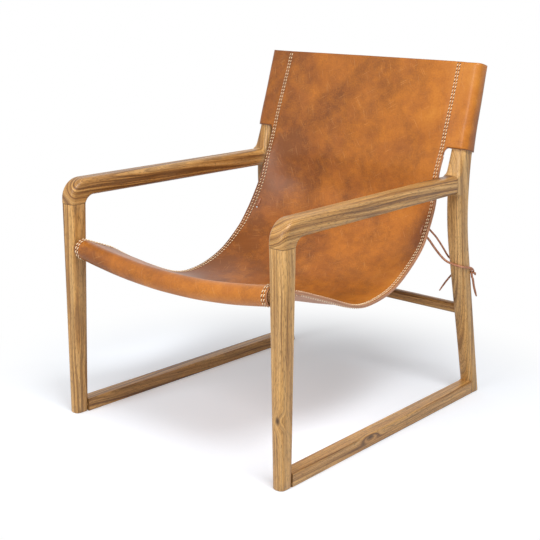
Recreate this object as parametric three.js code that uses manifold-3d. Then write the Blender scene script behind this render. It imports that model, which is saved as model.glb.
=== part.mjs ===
// Lounge chair: a teak frame that carries one long piece of saddle leather as seat and back.
// Millimetres. X runs to the sitter's left, -Y is the front, +Z is up, and the chair stands on Z = 0.
// The pieces are modelled from the front face of the front legs, at Y = 0, to the heels of the back legs.
// The group that is exported moves them so that the origin is under the middle of the chair.
import * as THREE from "three";
import Module from "manifold-3d";
import { mergeVertices } from "three/addons/utils/BufferGeometryUtils.js";

const wasm = await Module();
wasm.setup();

// Overall sizes of the frame
const overallWidth = 650; // over the outer faces of the front legs
const rearInset = 14; // each back leg stands this far further in
const overallDepth = 778; // front face of the front legs to the heels of the back legs
const postHeight = 795; // floor to the top of the back legs

// Wood to wood, and leather to wood
const glueGap = 0.3;
const hideClearance = 0.35;
const cutOverrun = 6; // how far a cut runs past the piece that it cuts
const easedEdge = 2.5; // small rounding of a foot or an end
const weldDistance = 1e-3; // points closer than this are one

// Front legs: tapered, with the arm on top
const frontLegHeight = 496;
const frontLegTopWidth = 42;
const frontLegTopDepth = 44;
const frontLegFootWidth = 29;
const frontLegFootDepth = 37;
const frontLegFootSetback = 5; // the foot's front face lies this far behind the top's
const frontLegFootInset = 0.5; // and its outer face this far inside
const legCornerRadius = 12;

// Arms: turned down at the front to meet the front legs, and swept up where they meet the back legs
const armWidth = 42;
const armTopHeight = 551.5;
const armThickness = 40;
const armOuterBend = 45;
const armInnerBend = 25;
const armCornerRadius = 11;
const copeDepth = 4; // how far a coped end reaches round the rounded corners of a leg

// Back legs: one sawn bend, raked back below and above it
const heelWidth = 34.5;
const heelDepth = 36.5;
const bendHeight = 518;
const bendForward = 109; // rear face at the bend, forward of the heel
const bendWidth = 39;
const bendDepth = 46;
const bendBlend = 150; // the curve starts this far below the bend and ends as far above it
const postTopForward = 38; // rear face at the top, forward of the heel
const postTopWidth = 39;
const postTopDepth = 38;
const postTopInset = 4; // its outer face lies this much further in than at the bend

// Block on the back leg that an arm butts against. Above it the leg's front face slopes back as a haunch.
const blockForward = 12; // in front of the leg's rake, at the arm's middle
const haunchForward = 10.7; // the same for the haunch's foot, at the arm's top
const haunchSlope = 0.35; // run back for each millimetre of rise
const topFillet = 13; // curve from the arm's top into the haunch, from its corner to each end
const underFillet = 9; // curve under the block

// Rails that lie on the floor between the legs of one side
const sledHeight = 30;
const sledWidth = 33;
const sledInset = 0; // from the outer faces of the legs
const sledCornerRadius = 3;
const sledFillet = 9; // rise of the rail's top where it meets the back leg

// Front rail: round, and it sags in the middle as the seat does
const frontRailDiameter = 36;
const frontRailHeight = 396.5; // of its axis, at the legs
const frontRailSag = 28;
const frontRailTenonDiameter = 20;
const frontRailTenonLength = 24;

// Rear stretcher between the back legs
const stretcherHeight = 25;
const stretcherDepth = 23;
const stretcherCentreHeight = 219;
const stretcherCornerRadius = 9;
const stretcherTenonHeight = 18;
const stretcherTenonDepth = 12;
const stretcherTenonLength = 22;

// Loose dowels, two in each glued joint
const dowelDiameter = 9;
const dowelLength = 44;
const dowelSpacing = 18;
const dowelToTenon = 6; // least wood between a dowel and the front rail's tenon
const sledDowelSpacing = 14;

// Leather: one hide, with a sleeve for each back leg and one for the front rail
const hideThickness = 3.5;
const sleeveRise = 5; // the sleeves stand this far above the posts
const sleeveAboveArm = 61; // from an arm's top to the lower end of a sleeve, at the post's front
const slotWidth = 10; // gap between a back leg and the hide's side edge
const slotCorner = 13; // height of the edge's curve into the slot, under a sleeve
const sleeveSeam = 30; // from a back leg's inner face to the seam that closes its sleeve
const sleeveLap = 14; // the wing's end reaches this far past the seam, behind the back
const lapGap = 0.4; // between the two layers of a lap
const frontSleeveShoulder = 3; // bare wood between the end of the front sleeve and the leg
const frontFlapReach = 58; // the front flap's lap starts this far behind the rail's axis
const frontFlapLap = 30;
const wrapGuess = 1.6 * Math.PI; // about how far the leather goes round the rail
const topSag = 6; // how far the middle of the hide hangs behind its edges at the top
const hipSag = 40; // and behind and below them where the back turns into the seat

// Second layer of leather under each free side edge
const bandWidth = 22;
const bandThickness = 2.4;
const bandGap = 0.4;

// Laces that tie the hide's sides to the back legs
const laceDiameter = 4.2;
const laceHoleDiameter = 7.6;
const laceHoleInset = 18; // from the hide's free edge
const laceHoleShare = 0.1227; // the holes' height, as a share of the rise from rail to sleeve
const laceHoleSpacing = 19.6; // along the hide

// Routes of the two laces on the sitter's left, as [x, y, z] in the frame that the pieces are modelled in.
// Both start midway between the holes, in front of the hide, and go back through one hole each.
const upperLacePoints = [
  [240.3, 580.3, 425.7],
  [240.3, 582.3, 429.1],
  [240.7, 585.1, 432.2],
  [242, 588.1, 432.9],
  [243.7, 591.0, 431.3],
  [246.3, 595.2, 428.9],
  [250.5, 604, 422],
  [257, 627, 402],
  [263, 651, 376],
  [268.3, 668, 356],
  [271, 680, 345],
  [271, 694, 338.5],
  [275.2, 706.9, 333],
  [286, 711.6, 329],
  [299, 713.4, 323],
  [306.8, 712.1, 318],
  [311.2, 709.4, 312],
  [313, 709.3, 304],
  [314, 713, 296],
  [314, 720, 276],
  [314, 733, 251],
];
const lowerLacePoints = [
  [240.3, 580.1, 425.5],
  [240.3, 578.3, 422.2],
  [240.7, 576.3, 417.3],
  [242, 578.3, 416],
  [243.7, 581, 414.1],
  [246.4, 585.2, 411.6],
  [252, 599, 400],
  [259, 620, 377],
  [266, 640, 357.5],
  [275, 652, 346.4],
  [286, 659.4, 340],
  [298.5, 661, 337.8],
  [310, 665.5, 335.5],
  [314.1, 677, 332.5],
  [314, 690, 329.5],
  [314, 700, 327],
  [314.5, 708, 322.5],
  [313.5, 714.5, 316],
  [307, 717.8, 311.5],
  [296, 718.2, 309.5],
  [284, 717, 309],
  [273, 711.5, 308],
  [263, 704, 302.5],
  [250, 697, 283],
  [237, 690, 259],
];

// The hide's free side edge in the side view, from the sleeve's lower end down towards the front rail:
// shares of the run from rail to back leg and of the rise from rail to sleeve.
const edgeShares = [
  [1, 1],
  [0.968, 0.759],
  [0.949, 0.574],
  [0.929, 0.387],
  [0.897, 0.202],
  [0.857, 0.016],
  [0.792, -0.169],
  [0.686, -0.369],
  [0.565, -0.462],
  [0.445, -0.439],
  [0.285, -0.257],
  [0.149, -0.072],
];
// At the same places, the sag of the hide's middle as a share of hipSag.
const sagShares = [0.35, 0.55, 0.8, 0.97, 1, 0.92, 0.72, 0.5, 0.4, 0.38, 0.5, 0.66];
// And how square the sagging cross-section is: 2 is a parabola, more has steeper sides.
const fullnessShares = [2, 2.4, 3, 3.6, 4, 4, 3.4, 2.6, 2.2, 2, 2, 2];
// Shares of the free edge: where the sag has left the sleeves' seams, where it starts to follow the front rail,
// and where it starts to hang straight down.
const seamShare = 0.25;
const railShare = 0.5;
const hangShare = 0.75;
// Rows of the edge's curve into the slot, as shares of slotCorner
const slotShares = [0, 0.25, 0.6];

// Steps of the curved surfaces
const cornerSteps = 4;
const archSteps = 7;
const frontLegSteps = 3;
const armSteps = 3;
const sledSteps = 3;
const lowerLegSteps = 15;
const filletSteps = 4;
const haunchSteps = 3;
const postSteps = 6;
const roundSides = 20;
const railSteps = 18;
const dowelSides = 12;
const sleeveRows = 5;
const edgeRows = 15;
const wrapRows = 11;
const hideColumns = 8;
const foldSteps = 2;
const laceSteps = 72;
const laceSides = 8;
const laceHoleSides = 8;
const halvings = 20; // of the search for a hole's place

// Derived places
const halfWidth = overallWidth / 2;
const rearHalfWidth = halfWidth - rearInset;
const bendRearY = overallDepth - bendForward;
const topRearY = overallDepth - postTopForward;
const postRake = (topRearY - bendRearY) / (postHeight - bendHeight);
const armMiddle = armTopHeight - armThickness / 2;
const armUnderside = armTopHeight - armThickness;
const sleeveFoot = armTopHeight + sleeveAboveArm;
const frontRailY = frontLegTopDepth / 2;
const midOffset = hideClearance + hideThickness / 2; // wood face to the middle of the leather

const lerp = (a, b, t) => a + (b - a) * t;
const smooth = (t) => t * t * (3 - 2 * t);
const clamp01 = (t) => Math.min(1, Math.max(0, t));
const steps = (n) => Array.from({ length: n + 1 }, (_, i) => i / n);

// Materials
const teak = (hex) => new THREE.MeshStandardMaterial({ color: hex, roughness: 0.5, metalness: 0 });
const leather = (hex) => new THREE.MeshStandardMaterial({ color: hex, roughness: 0.55, metalness: 0 });
const legTeak = teak(0xc1935a);
const railTeak = teak(0xb98a58);
const dowelWood = teak(0xd8b98a);
const saddleLeather = leather(0xb86f33);
const bandLeather = leather(0xa8693c);
const laceLeather = leather(0x8a5538);

// Closed surfaces and booleans

// A closed surface from points and triangles, turned so that its faces point outwards.
function closedGeometry(points, triangles) {
  let volume = 0;
  for (const [i, j, k] of triangles) {
    volume += points[i].dot(new THREE.Vector3().crossVectors(points[j], points[k]));
  }
  const index = triangles.flatMap(([i, j, k]) => (volume < 0 ? [i, k, j] : [i, j, k]));
  const geometry = new THREE.BufferGeometry().setFromPoints(points);
  geometry.setIndex(index);
  return geometry;
}

function toSolid(geometry) {
  const bare = new THREE.BufferGeometry();
  bare.setAttribute("position", geometry.getAttribute("position"));
  bare.setIndex(geometry.index);
  const merged = mergeVertices(bare, weldDistance);
  return new wasm.Manifold(
    new wasm.Mesh({
      numProp: 3,
      vertProperties: merged.attributes.position.array,
      triVerts: new Uint32Array(merged.index.array),
    }),
  );
}

function toGeometry(solid) {
  const mesh = solid.getMesh();
  const geometry = new THREE.BufferGeometry();
  geometry.setAttribute("position", new THREE.BufferAttribute(mesh.vertProperties, 3));
  geometry.setIndex(new THREE.BufferAttribute(mesh.triVerts, 1));
  return geometry;
}

const subtractAll = (solid, cuts) => cuts.reduce((rest, cut) => rest.subtract(cut), solid);

// A closed tube of rings that all have as many points, with flat ends.
function ringLoft(rings) {
  const count = rings[0].length;
  const points = rings.flat();
  const triangles = [];
  for (let r = 0; r + 1 < rings.length; r++) {
    for (let i = 0; i < count; i++) {
      const a = r * count + i;
      const b = r * count + ((i + 1) % count);
      triangles.push([a, b, b + count], [a, b + count, a + count]);
    }
  }
  const capAt = (ring, first, flip) => {
    const middle = ring.reduce((sum, p) => sum.add(p), new THREE.Vector3()).divideScalar(count);
    points.push(middle);
    const hub = points.length - 1;
    for (let i = 0; i < count; i++) {
      const next = first + ((i + 1) % count);
      triangles.push(flip ? [hub, next, first + i] : [hub, first + i, next]);
    }
  };
  capAt(rings[0], 0, true);
  capAt(rings[rings.length - 1], (rings.length - 1) * count, false);
  return closedGeometry(points, triangles);
}

// Points of a rounded rectangle, as offsets from its middle
function roundedRectangle(halfA, halfB, radius) {
  const r = Math.min(radius, halfA, halfB);
  const corners = [
    [1, 1],
    [-1, 1],
    [-1, -1],
    [1, -1],
  ];
  return corners.flatMap(([sa, sb], quarter) =>
    steps(cornerSteps).map((t) => {
      const angle = (quarter + t) * (Math.PI / 2);
      return [sa * (halfA - r) + r * Math.cos(angle), sb * (halfB - r) + r * Math.sin(angle)];
    }),
  );
}

// A rung joins two opposite points [y, z] of a piece's side view and spans from x0 to x1.
// Its ring is a rounded rectangle. grow makes the ring larger all round.
function rungRing({ p, q, x0, x1, radius }, grow = 0) {
  const along = new THREE.Vector3(0, q[0] - p[0], q[1] - p[1]);
  const half = along.length() / 2 + grow;
  along.normalize();
  const middle = new THREE.Vector3((x0 + x1) / 2, (p[0] + q[0]) / 2, (p[1] + q[1]) / 2);
  const halfX = Math.abs(x1 - x0) / 2 + grow;
  return roundedRectangle(halfX, half, radius + grow).map(([a, b]) =>
    new THREE.Vector3(a, 0, 0).addScaledVector(along, b).add(middle),
  );
}

const rungLoft = (rungs, grow = 0) => ringLoft(rungs.map((rung) => rungRing(rung, grow)));

// A round bar between two points, with its flat sides turned alike wherever it is used.
function roundBar(from, to, diameter, sides) {
  const axis = new THREE.Vector3().subVectors(to, from);
  const bar = new THREE.CylinderGeometry(diameter / 2, diameter / 2, axis.length(), sides);
  bar.applyQuaternion(new THREE.Quaternion().setFromUnitVectors(new THREE.Vector3(0, 1, 0), axis.normalize()));
  bar.translate((from.x + to.x) / 2, (from.y + to.y) / 2, (from.z + to.z) / 2);
  return bar;
}

// Outlines of the legs in the side view

const frontLegAt = (z) => {
  const t = z / frontLegHeight;
  const outer = halfWidth - lerp(frontLegFootInset, 0, t);
  const front = lerp(frontLegFootSetback, 0, t);
  return {
    outer,
    inner: outer - lerp(frontLegFootWidth, frontLegTopWidth, t),
    front,
    rear: front + lerp(frontLegFootDepth, frontLegTopDepth, t),
  };
};

// The rear face of a back leg: two straight rakes with a curve between them.
function backLegRear(z) {
  const lower = lerp(overallDepth, bendRearY, z / bendHeight);
  const upper = lerp(bendRearY, topRearY, (z - bendHeight) / (postHeight - bendHeight));
  const t = (z - (bendHeight - bendBlend)) / (2 * bendBlend);
  if (t <= 0) return lower;
  if (t >= 1) return upper;
  const start = lerp(overallDepth, bendRearY, (bendHeight - bendBlend) / bendHeight);
  const end = lerp(bendRearY, topRearY, bendBlend / (postHeight - bendHeight));
  return start * (1 - t) ** 2 + 2 * bendRearY * t * (1 - t) + end * t ** 2;
}

const backLegRake = (z) => {
  const t = clamp01(z / bendHeight);
  const u = clamp01((z - bendHeight) / (postHeight - bendHeight));
  return backLegRear(z) - lerp(lerp(heelDepth, bendDepth, smooth(t)), postTopDepth, smooth(u));
};

// The curve from an arm's top up into the haunch, at share t of its way
const blockFace = backLegRake(armMiddle) - blockForward;
const haunchFoot = backLegRake(armTopHeight) - haunchForward;
const haunchLength = Math.hypot(haunchSlope, 1);
function filletAt(t) {
  const y = haunchFoot - topFillet * (1 - t) ** 2 + ((topFillet * haunchSlope) / haunchLength) * t ** 2;
  return { y, z: armTopHeight + (topFillet / haunchLength) * t ** 2 };
}
// The share at which that curve is so far back
function filletShareAt(y) {
  let [low, high] = [0, 1];
  for (const _ of steps(halvings)) {
    const t = (low + high) / 2;
    if (filletAt(t).y < y) low = t;
    else high = t;
  }
  return high;
}
const blockShare = filletShareAt(blockFace);
const blockTop = filletAt(blockShare).z;
const blockBottom = armUnderside - glueGap;

function backLegFront(z) {
  const rake = backLegRake(z);
  const fillet = (z - armTopHeight) / (filletAt(1).z - armTopHeight);
  if (fillet >= 1) return Math.min(rake, haunchFoot + (z - armTopHeight) * haunchSlope);
  if (z > blockTop) return filletAt(Math.sqrt(fillet)).y;
  if (z >= blockBottom) return blockFace;
  const into = clamp01((z - blockBottom + underFillet) / underFillet);
  return lerp(blockFace, rake, Math.sqrt(1 - into ** 2));
}

const backLegAt = (z) => {
  const t = clamp01(z / bendHeight);
  const u = clamp01((z - bendHeight) / (postHeight - bendHeight));
  const outer = rearHalfWidth - postTopInset * u;
  const inner = outer - lerp(lerp(heelWidth, bendWidth, t), postTopWidth, u);
  return { outer, inner, front: backLegFront(z), rear: backLegRear(z) };
};

// A cut square to the raked post, so far behind its front edge: its height there, and how far forward that is.
function squareCut(z, back) {
  const drop = postRake * back;
  return { y: backLegRear(z - drop) - backLegRear(z), z: z - drop };
}

// Rungs of the upright pieces, level at each height. side is 1 or -1 for the sitter's left or right.
const legRung = (leg, z, side, inset = 0) => ({
  p: [leg.front + inset, z],
  q: [leg.rear - inset, z],
  x0: side * (leg.inner + inset),
  x1: side * (leg.outer - inset),
  radius: legCornerRadius - inset,
});

const frontLegRungs = (side) => [
  legRung(frontLegAt(0), 0, side, easedEdge),
  ...steps(frontLegSteps).map((t) => {
    const z = lerp(easedEdge, frontLegHeight, t);
    return legRung(frontLegAt(z), z, side);
  }),
];

// Above the sleeve's foot the rungs turn, so that the post's top is cut square to its rake.
function backLegRung(z, side, inset = 0) {
  const rung = legRung(backLegAt(z), z, side, inset);
  const turned = clamp01((z - sleeveFoot) / (postHeight - easedEdge - sleeveFoot));
  const cut = squareCut(z, (rung.q[0] - rung.p[0]) * turned);
  rung.q = [rung.q[0] + cut.y, cut.z];
  return rung;
}

const backLegHeights = [
  ...steps(lowerLegSteps).map((t) => lerp(easedEdge, blockBottom - underFillet, t)),
  ...steps(filletSteps)
    .slice(1)
    .map((t) => blockBottom - underFillet * (1 - Math.sin((t * Math.PI) / 2))),
  blockTop,
  ...steps(filletSteps)
    .slice(1)
    .map((t) => filletAt(lerp(blockShare, 1, t)).z),
  ...steps(haunchSteps)
    .slice(1)
    .map((t) => lerp(filletAt(1).z, sleeveFoot, t)),
  ...steps(postSteps)
    .slice(1)
    .map((t) => lerp(sleeveFoot, postHeight - easedEdge, t)),
];

const backLegRungs = (side) => [
  backLegRung(0, side, easedEdge),
  ...backLegHeights.map((z) => backLegRung(z, side)),
  backLegRung(postHeight, side, easedEdge),
];

// A leg a glue gap larger all round, to cope the end of a rail or an arm against it.
const grownLeg = (rungs) => toSolid(rungLoft(rungs, glueGap));

// Arms and sled rails turn inwards from the front legs to the back legs.
const insetBetween = (y, from, to) => rearInset * clamp01((y - from) / (to - from));
const armInsetAt = (y) => insetBetween(y, frontLegTopDepth, blockFace);
const sledInsetAt = (y) => insetBetween(y, frontLegAt(0).rear, backLegAt(0).front);

// Arms
function armRungs(side) {
  const rung = (p, q) => {
    const outer = halfWidth - armInsetAt(p[0]);
    return { p, q, x0: side * (outer - armWidth), x1: side * outer, radius: armCornerRadius };
  };
  const joint = frontLegHeight + glueGap;
  const innerZ = armUnderside - armInnerBend;
  const below = Math.max(0, joint - innerZ);
  const innerY = frontLegTopDepth + Math.sqrt(armInnerBend ** 2 - below ** 2);
  const firstAngle = Math.asin(below / armInnerBend);
  const rungs = [rung([0, joint], [frontLegTopDepth, joint])];
  for (const t of steps(archSteps)) {
    const outer = t * (Math.PI / 2);
    const inner = lerp(firstAngle, Math.PI / 2, t);
    const bendY = armOuterBend * (1 - Math.cos(outer));
    const bendZ = armTopHeight - armOuterBend * (1 - Math.sin(outer));
    const hollowY = innerY - armInnerBend * Math.cos(inner);
    rungs.push(rung([bendY, bendZ], [hollowY, innerZ + armInnerBend * Math.sin(inner)]));
  }
  const straightStart = innerY + armInnerBend;
  for (const t of steps(armSteps)) {
    const y = lerp(straightStart, filletAt(0).y, t);
    rungs.push(rung([y, armTopHeight], [y, armUnderside]));
  }
  for (const t of steps(filletSteps).slice(1)) {
    const { y, z } = filletAt(blockShare * t);
    rungs.push(rung([y, z], [y, armUnderside]));
  }
  const end = blockFace + copeDepth;
  rungs.push(rung([end, blockTop], [end, armUnderside]));
  return rungs;
}

// Sled rails
function sledRungs(side) {
  const start = frontLegAt(0).rear - copeDepth;
  const end = backLegAt(0).front + copeDepth;
  const filletStart = backLegAt(sledHeight).front - sledFillet;
  const rung = (y, z) => {
    const outer = halfWidth - sledInset - sledInsetAt(y);
    return { p: [y, 0], q: [y, z], x0: side * (outer - sledWidth), x1: side * outer, radius: sledCornerRadius };
  };
  return [
    rung(start, sledHeight),
    rung(lerp(start, filletStart, 1 / 2), sledHeight),
    rung(filletStart, sledHeight),
    ...steps(sledSteps)
      .slice(1)
      .map((t) => rung(lerp(filletStart, end, t), sledHeight + sledFillet * (1 - Math.sqrt(1 - t * t)))),
  ];
}

// Front rail, from tenon to tenon. sagAt gives how far its axis hangs below its ends.
const frontRailHalf = frontLegAt(frontRailHeight + frontRailDiameter / 2).inner - glueGap;
const railSagAt = (x) => frontRailSag * (1 - clamp01(Math.abs(x) / frontRailHalf) ** 2);

function frontRailGeometry() {
  const rings = [];
  const ring = (x, z, radius) =>
    rings.push(
      Array.from({ length: roundSides }, (_, i) => {
        const angle = (i * 2 * Math.PI) / roundSides;
        return new THREE.Vector3(x, frontRailY + radius * Math.cos(angle), z + radius * Math.sin(angle));
      }),
    );
  const tenon = frontRailTenonDiameter / 2;
  const tip = frontRailHalf + frontRailTenonLength;
  ring(-tip, frontRailHeight, tenon);
  ring(-frontRailHalf, frontRailHeight, tenon);
  for (const t of steps(railSteps)) {
    const x = lerp(-frontRailHalf, frontRailHalf, t);
    ring(x, frontRailHeight - railSagAt(x), frontRailDiameter / 2);
  }
  ring(frontRailHalf, frontRailHeight, tenon);
  ring(tip, frontRailHeight, tenon);
  return ringLoft(rings);
}

// Rear stretcher, from tenon to tenon
const stretcherY = (() => {
  const leg = backLegAt(stretcherCentreHeight);
  return (leg.front + leg.rear) / 2;
})();
const stretcherHalf = backLegAt(stretcherCentreHeight + stretcherHeight / 2).inner - glueGap;

function stretcherRing(x, depth, height, radius) {
  return roundedRectangle(depth / 2, height / 2, radius).map(
    ([a, b]) => new THREE.Vector3(x, stretcherY + a, stretcherCentreHeight + b),
  );
}

function stretcherGeometry() {
  const tip = stretcherHalf + stretcherTenonLength;
  const tenon = (x) => stretcherRing(x, stretcherTenonDepth, stretcherTenonHeight, stretcherTenonDepth / 2);
  const body = (x) => stretcherRing(x, stretcherDepth, stretcherHeight, stretcherCornerRadius);
  return ringLoft([
    tenon(-tip),
    tenon(-stretcherHalf),
    body(-stretcherHalf),
    body(0),
    body(stretcherHalf),
    tenon(stretcherHalf),
    tenon(tip),
  ]);
}

// Dowels: each has its name, its place, its direction and how far it reaches back along it
function dowelPlaces(side) {
  const armX = side * (halfWidth - armWidth / 2);
  const armRearX = side * (rearHalfWidth - armWidth / 2);
  const sledX = side * (halfWidth - sledInset - sledWidth / 2);
  const sledRearX = side * (rearHalfWidth - sledInset - sledWidth / 2);
  const alongY = new THREE.Vector3(0, 1, 0);
  const alongZ = new THREE.Vector3(0, 0, 1);
  const sledMiddle = sledHeight / 2;
  const half = dowelLength / 2;
  const place = (name, middle, direction, below = half) => ({ name, middle, direction, below });
  const overTenon = frontLegHeight - frontRailHeight - frontRailTenonDiameter / 2 - dowelToTenon;
  const intoLeg = Math.min(half, overTenon);
  return [
    place(
      "arm_front_dowel_a",
      new THREE.Vector3(armX, frontRailY - dowelSpacing / 2, frontLegHeight),
      alongZ,
      intoLeg,
    ),
    place(
      "arm_front_dowel_b",
      new THREE.Vector3(armX, frontRailY + dowelSpacing / 2, frontLegHeight),
      alongZ,
      intoLeg,
    ),
    place("arm_back_dowel_a", new THREE.Vector3(armRearX, blockFace, armMiddle - dowelSpacing / 2), alongY),
    place("arm_back_dowel_b", new THREE.Vector3(armRearX, blockFace, armMiddle + dowelSpacing / 2), alongY),
    place(
      "sled_front_dowel_a",
      new THREE.Vector3(sledX - sledDowelSpacing / 2, frontLegAt(sledMiddle).rear, sledMiddle),
      alongY,
    ),
    place(
      "sled_front_dowel_b",
      new THREE.Vector3(sledX + sledDowelSpacing / 2, frontLegAt(sledMiddle).rear, sledMiddle),
      alongY,
    ),
    place(
      "sled_back_dowel_a",
      new THREE.Vector3(sledRearX - sledDowelSpacing / 2, backLegAt(sledMiddle).front, sledMiddle),
      alongY,
    ),
    place(
      "sled_back_dowel_b",
      new THREE.Vector3(sledRearX + sledDowelSpacing / 2, backLegAt(sledMiddle).front, sledMiddle),
      alongY,
    ),
  ];
}

function dowelBar({ middle, direction, below }, grow) {
  return roundBar(
    middle.clone().addScaledVector(direction, -below - grow),
    middle.clone().addScaledVector(direction, dowelLength / 2 + grow),
    dowelDiameter + 2 * grow,
    dowelSides,
  );
}

const dowelHoles = (side, joint) =>
  dowelPlaces(side)
    .filter((dowel) => dowel.name.startsWith(joint))
    .map((dowel) => toSolid(dowelBar(dowel, glueGap)));

// Wooden pieces of one side
function sidePieces(side) {
  const frontRungs = frontLegRungs(side);
  const backRungs = backLegRungs(side);
  const frontGrown = grownLeg(frontRungs);
  const backGrown = grownLeg(backRungs);

  const railTip = frontRailHalf + frontRailTenonLength + glueGap;
  const railMortise = toSolid(
    roundBar(
      new THREE.Vector3(side * (frontRailHalf - cutOverrun), frontRailY, frontRailHeight),
      new THREE.Vector3(side * railTip, frontRailY, frontRailHeight),
      frontRailTenonDiameter + 2 * glueGap,
      roundSides,
    ),
  );
  const mortiseDepth = stretcherTenonDepth + 2 * glueGap;
  const mortiseHeight = stretcherTenonHeight + 2 * glueGap;
  const mortiseRing = (x) => stretcherRing(side * x, mortiseDepth, mortiseHeight, mortiseDepth / 2);
  const stretcherMortise = toSolid(
    ringLoft([mortiseRing(stretcherHalf - cutOverrun), mortiseRing(stretcherHalf + stretcherTenonLength + glueGap)]),
  );

  const frontLeg = subtractAll(toSolid(rungLoft(frontRungs)), [
    railMortise,
    ...dowelHoles(side, "arm_front"),
    ...dowelHoles(side, "sled_front"),
  ]);
  const backLeg = subtractAll(toSolid(rungLoft(backRungs)), [
    stretcherMortise,
    ...dowelHoles(side, "arm_back"),
    ...dowelHoles(side, "sled_back"),
  ]);
  const arm = subtractAll(toSolid(rungLoft(armRungs(side))), [backGrown, ...dowelHoles(side, "arm_")]);
  const sled = subtractAll(toSolid(rungLoft(sledRungs(side))), [
    frontGrown,
    backGrown,
    ...dowelHoles(side, "sled_"),
  ]);
  return { frontLeg, backLeg, arm, sled };
}

// Leather hide

// Where the sleeves and the free edge start and end
const sleeveTop = postHeight + sleeveRise;
const postAtFoot = backLegAt(sleeveFoot);
const seamX = postAtFoot.inner - sleeveSeam;
const edgeX = postAtFoot.inner - slotWidth;
const frontEdgeX = frontRailHalf - frontSleeveShoulder;
const edgeRun = postAtFoot.front - midOffset - frontRailY;
const edgeRise = sleeveFoot - frontRailHeight;

const edgeCurve = new THREE.SplineCurve(
  edgeShares.map(([run, rise]) => new THREE.Vector2(frontRailY + run * edgeRun, frontRailHeight + rise * edgeRise)),
);
const sagCurve = new THREE.SplineCurve(sagShares.map((sag, i) => new THREE.Vector2(sag, fullnessShares[i])));

// The front sleeve's folds: rows lie on a circle wide enough for their flats to clear the rail.
const wrapStep = (sweep) => sweep / wrapRows;
function wrapRadius(sweep) {
  return (frontRailDiameter / 2 + hideClearance) / Math.cos(wrapStep(sweep) / 2) + hideThickness / 2;
}
const wrapRadiusGuess = wrapRadius(wrapGuess);

// The angle, seen from the rail's axis, at which a line from a point [y, z] touches the sleeve's circle.
function tangentAngle(point, radius, upper) {
  const dy = point.y - frontRailY;
  const dz = point.z - frontRailHeight;
  const half = Math.acos(radius / Math.hypot(dy, dz));
  return Math.atan2(dz, dy) + (upper ? half : -half);
}

// A row of the hide: a point of its edge in the side view, the direction in which its middle sags and how much.
const row = (y, z, sagDirection, sag, fullness, sagX, half) => ({
  y,
  z,
  sagDirection,
  sag,
  fullness,
  sagX,
  half,
});
const straightDown = new THREE.Vector2(0, -1);
const railRow = (y, z) => row(y, z, straightDown, frontRailSag, 2, frontRailHalf, frontEdgeX);

// Rows from the top of the back to the lower ends of its sleeves
const sleeveRowsList = steps(sleeveRows)
  .slice(0, -1)
  .map((t) => {
    const z = lerp(sleeveTop, sleeveFoot, t);
    const leg = backLegAt(z);
    const sag = lerp(topSag, sagShares[0] * hipSag, t);
    return row(leg.front - midOffset, z, new THREE.Vector2(1, 0), sag, 2, seamX, leg.inner);
  });

// Rows of the free edge, from the sleeves to the front sleeve
function freeRow(t) {
  const at = edgeCurve.getPoint(t);
  const tangent = edgeCurve.getTangent(t);
  const backward = new THREE.Vector2(-tangent.y, tangent.x);
  const turn = smooth(clamp01((t - hangShare) / (1 - hangShare)));
  const direction = backward.lerp(straightDown, turn).normalize();
  const { x: sagShare, y: fullness } = sagCurve.getPoint(t);
  const fromFoot = sleeveFoot - at.y;
  const intoSlot = clamp01(fromFoot / slotCorner);
  const nearFront = smooth(clamp01((t - railShare) / (1 - railShare)));
  const slotEase = 1 - Math.sqrt(1 - (1 - intoSlot) ** 2);
  const half = lerp(edgeX + slotWidth * slotEase, frontEdgeX, nearFront);
  const sagX = lerp(lerp(seamX, edgeX, smooth(clamp01(t / seamShare))), frontRailHalf, nearFront);
  return row(at.x, at.y, direction, sagShare * hipSag, fullness, sagX, half);
}
const slotRows = slotShares.map((share) => (share * slotCorner) / (2 * edgeRise));
const freeRows = [...slotRows.map(freeRow), ...steps(edgeRows).slice(1).map(freeRow)];

// Rows of the front sleeve: over the rail, down its front and back under it
const lastFree = freeRows[freeRows.length - 1];
const overAngle = tangentAngle(lastFree, wrapRadiusGuess, true);
const panelAt = (y) => {
  const touchY = frontRailY + wrapRadiusGuess * Math.cos(overAngle);
  const touchZ = frontRailHeight + wrapRadiusGuess * Math.sin(overAngle);
  const slope = (touchZ - lastFree.z) / (touchY - lastFree.y);
  const z = lastFree.z + slope * (y - lastFree.y);
  const normal = new THREE.Vector2(-slope, 1).normalize();
  return { y, z, normal };
};
const flapRow = (y) => {
  const panel = panelAt(y);
  const drop = hideThickness + lapGap + bandGap;
  return railRow(panel.y - panel.normal.x * drop, panel.z - panel.normal.y * drop);
};
const lapStart = flapRow(frontRailY + frontFlapReach);
const lapEnd = flapRow(frontRailY + frontFlapReach + frontFlapLap);
const underAngle = tangentAngle(lapStart, wrapRadiusGuess, false) + 2 * Math.PI;
const sweep = underAngle - overAngle;
const wrapRowsList = steps(wrapRows).map((t) => {
  const angle = lerp(overAngle, underAngle, t);
  const radius = wrapRadius(sweep);
  return railRow(frontRailY + radius * Math.cos(angle), frontRailHeight + radius * Math.sin(angle));
});

const hideRows = [...sleeveRowsList, ...freeRows, ...wrapRowsList, lapStart, lapEnd];

function hidePoint(at, x) {
  const share = clamp01(Math.abs(x) / at.sagX);
  const sag = at.sag * (1 - share ** at.fullness);
  return new THREE.Vector3(x, at.y + at.sagDirection.x * sag, at.z + at.sagDirection.y * sag);
}

// Across the hide: its columns end on the inner edge of each band, then on the edge itself.
function columnsAt(at) {
  const line = Math.min(at.sagX, at.half - bandWidth);
  const inner = steps(hideColumns).map((t) => lerp(-line, line, t));
  return [-at.half, ...inner, at.half].map((x) => hidePoint(at, x));
}

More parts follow.
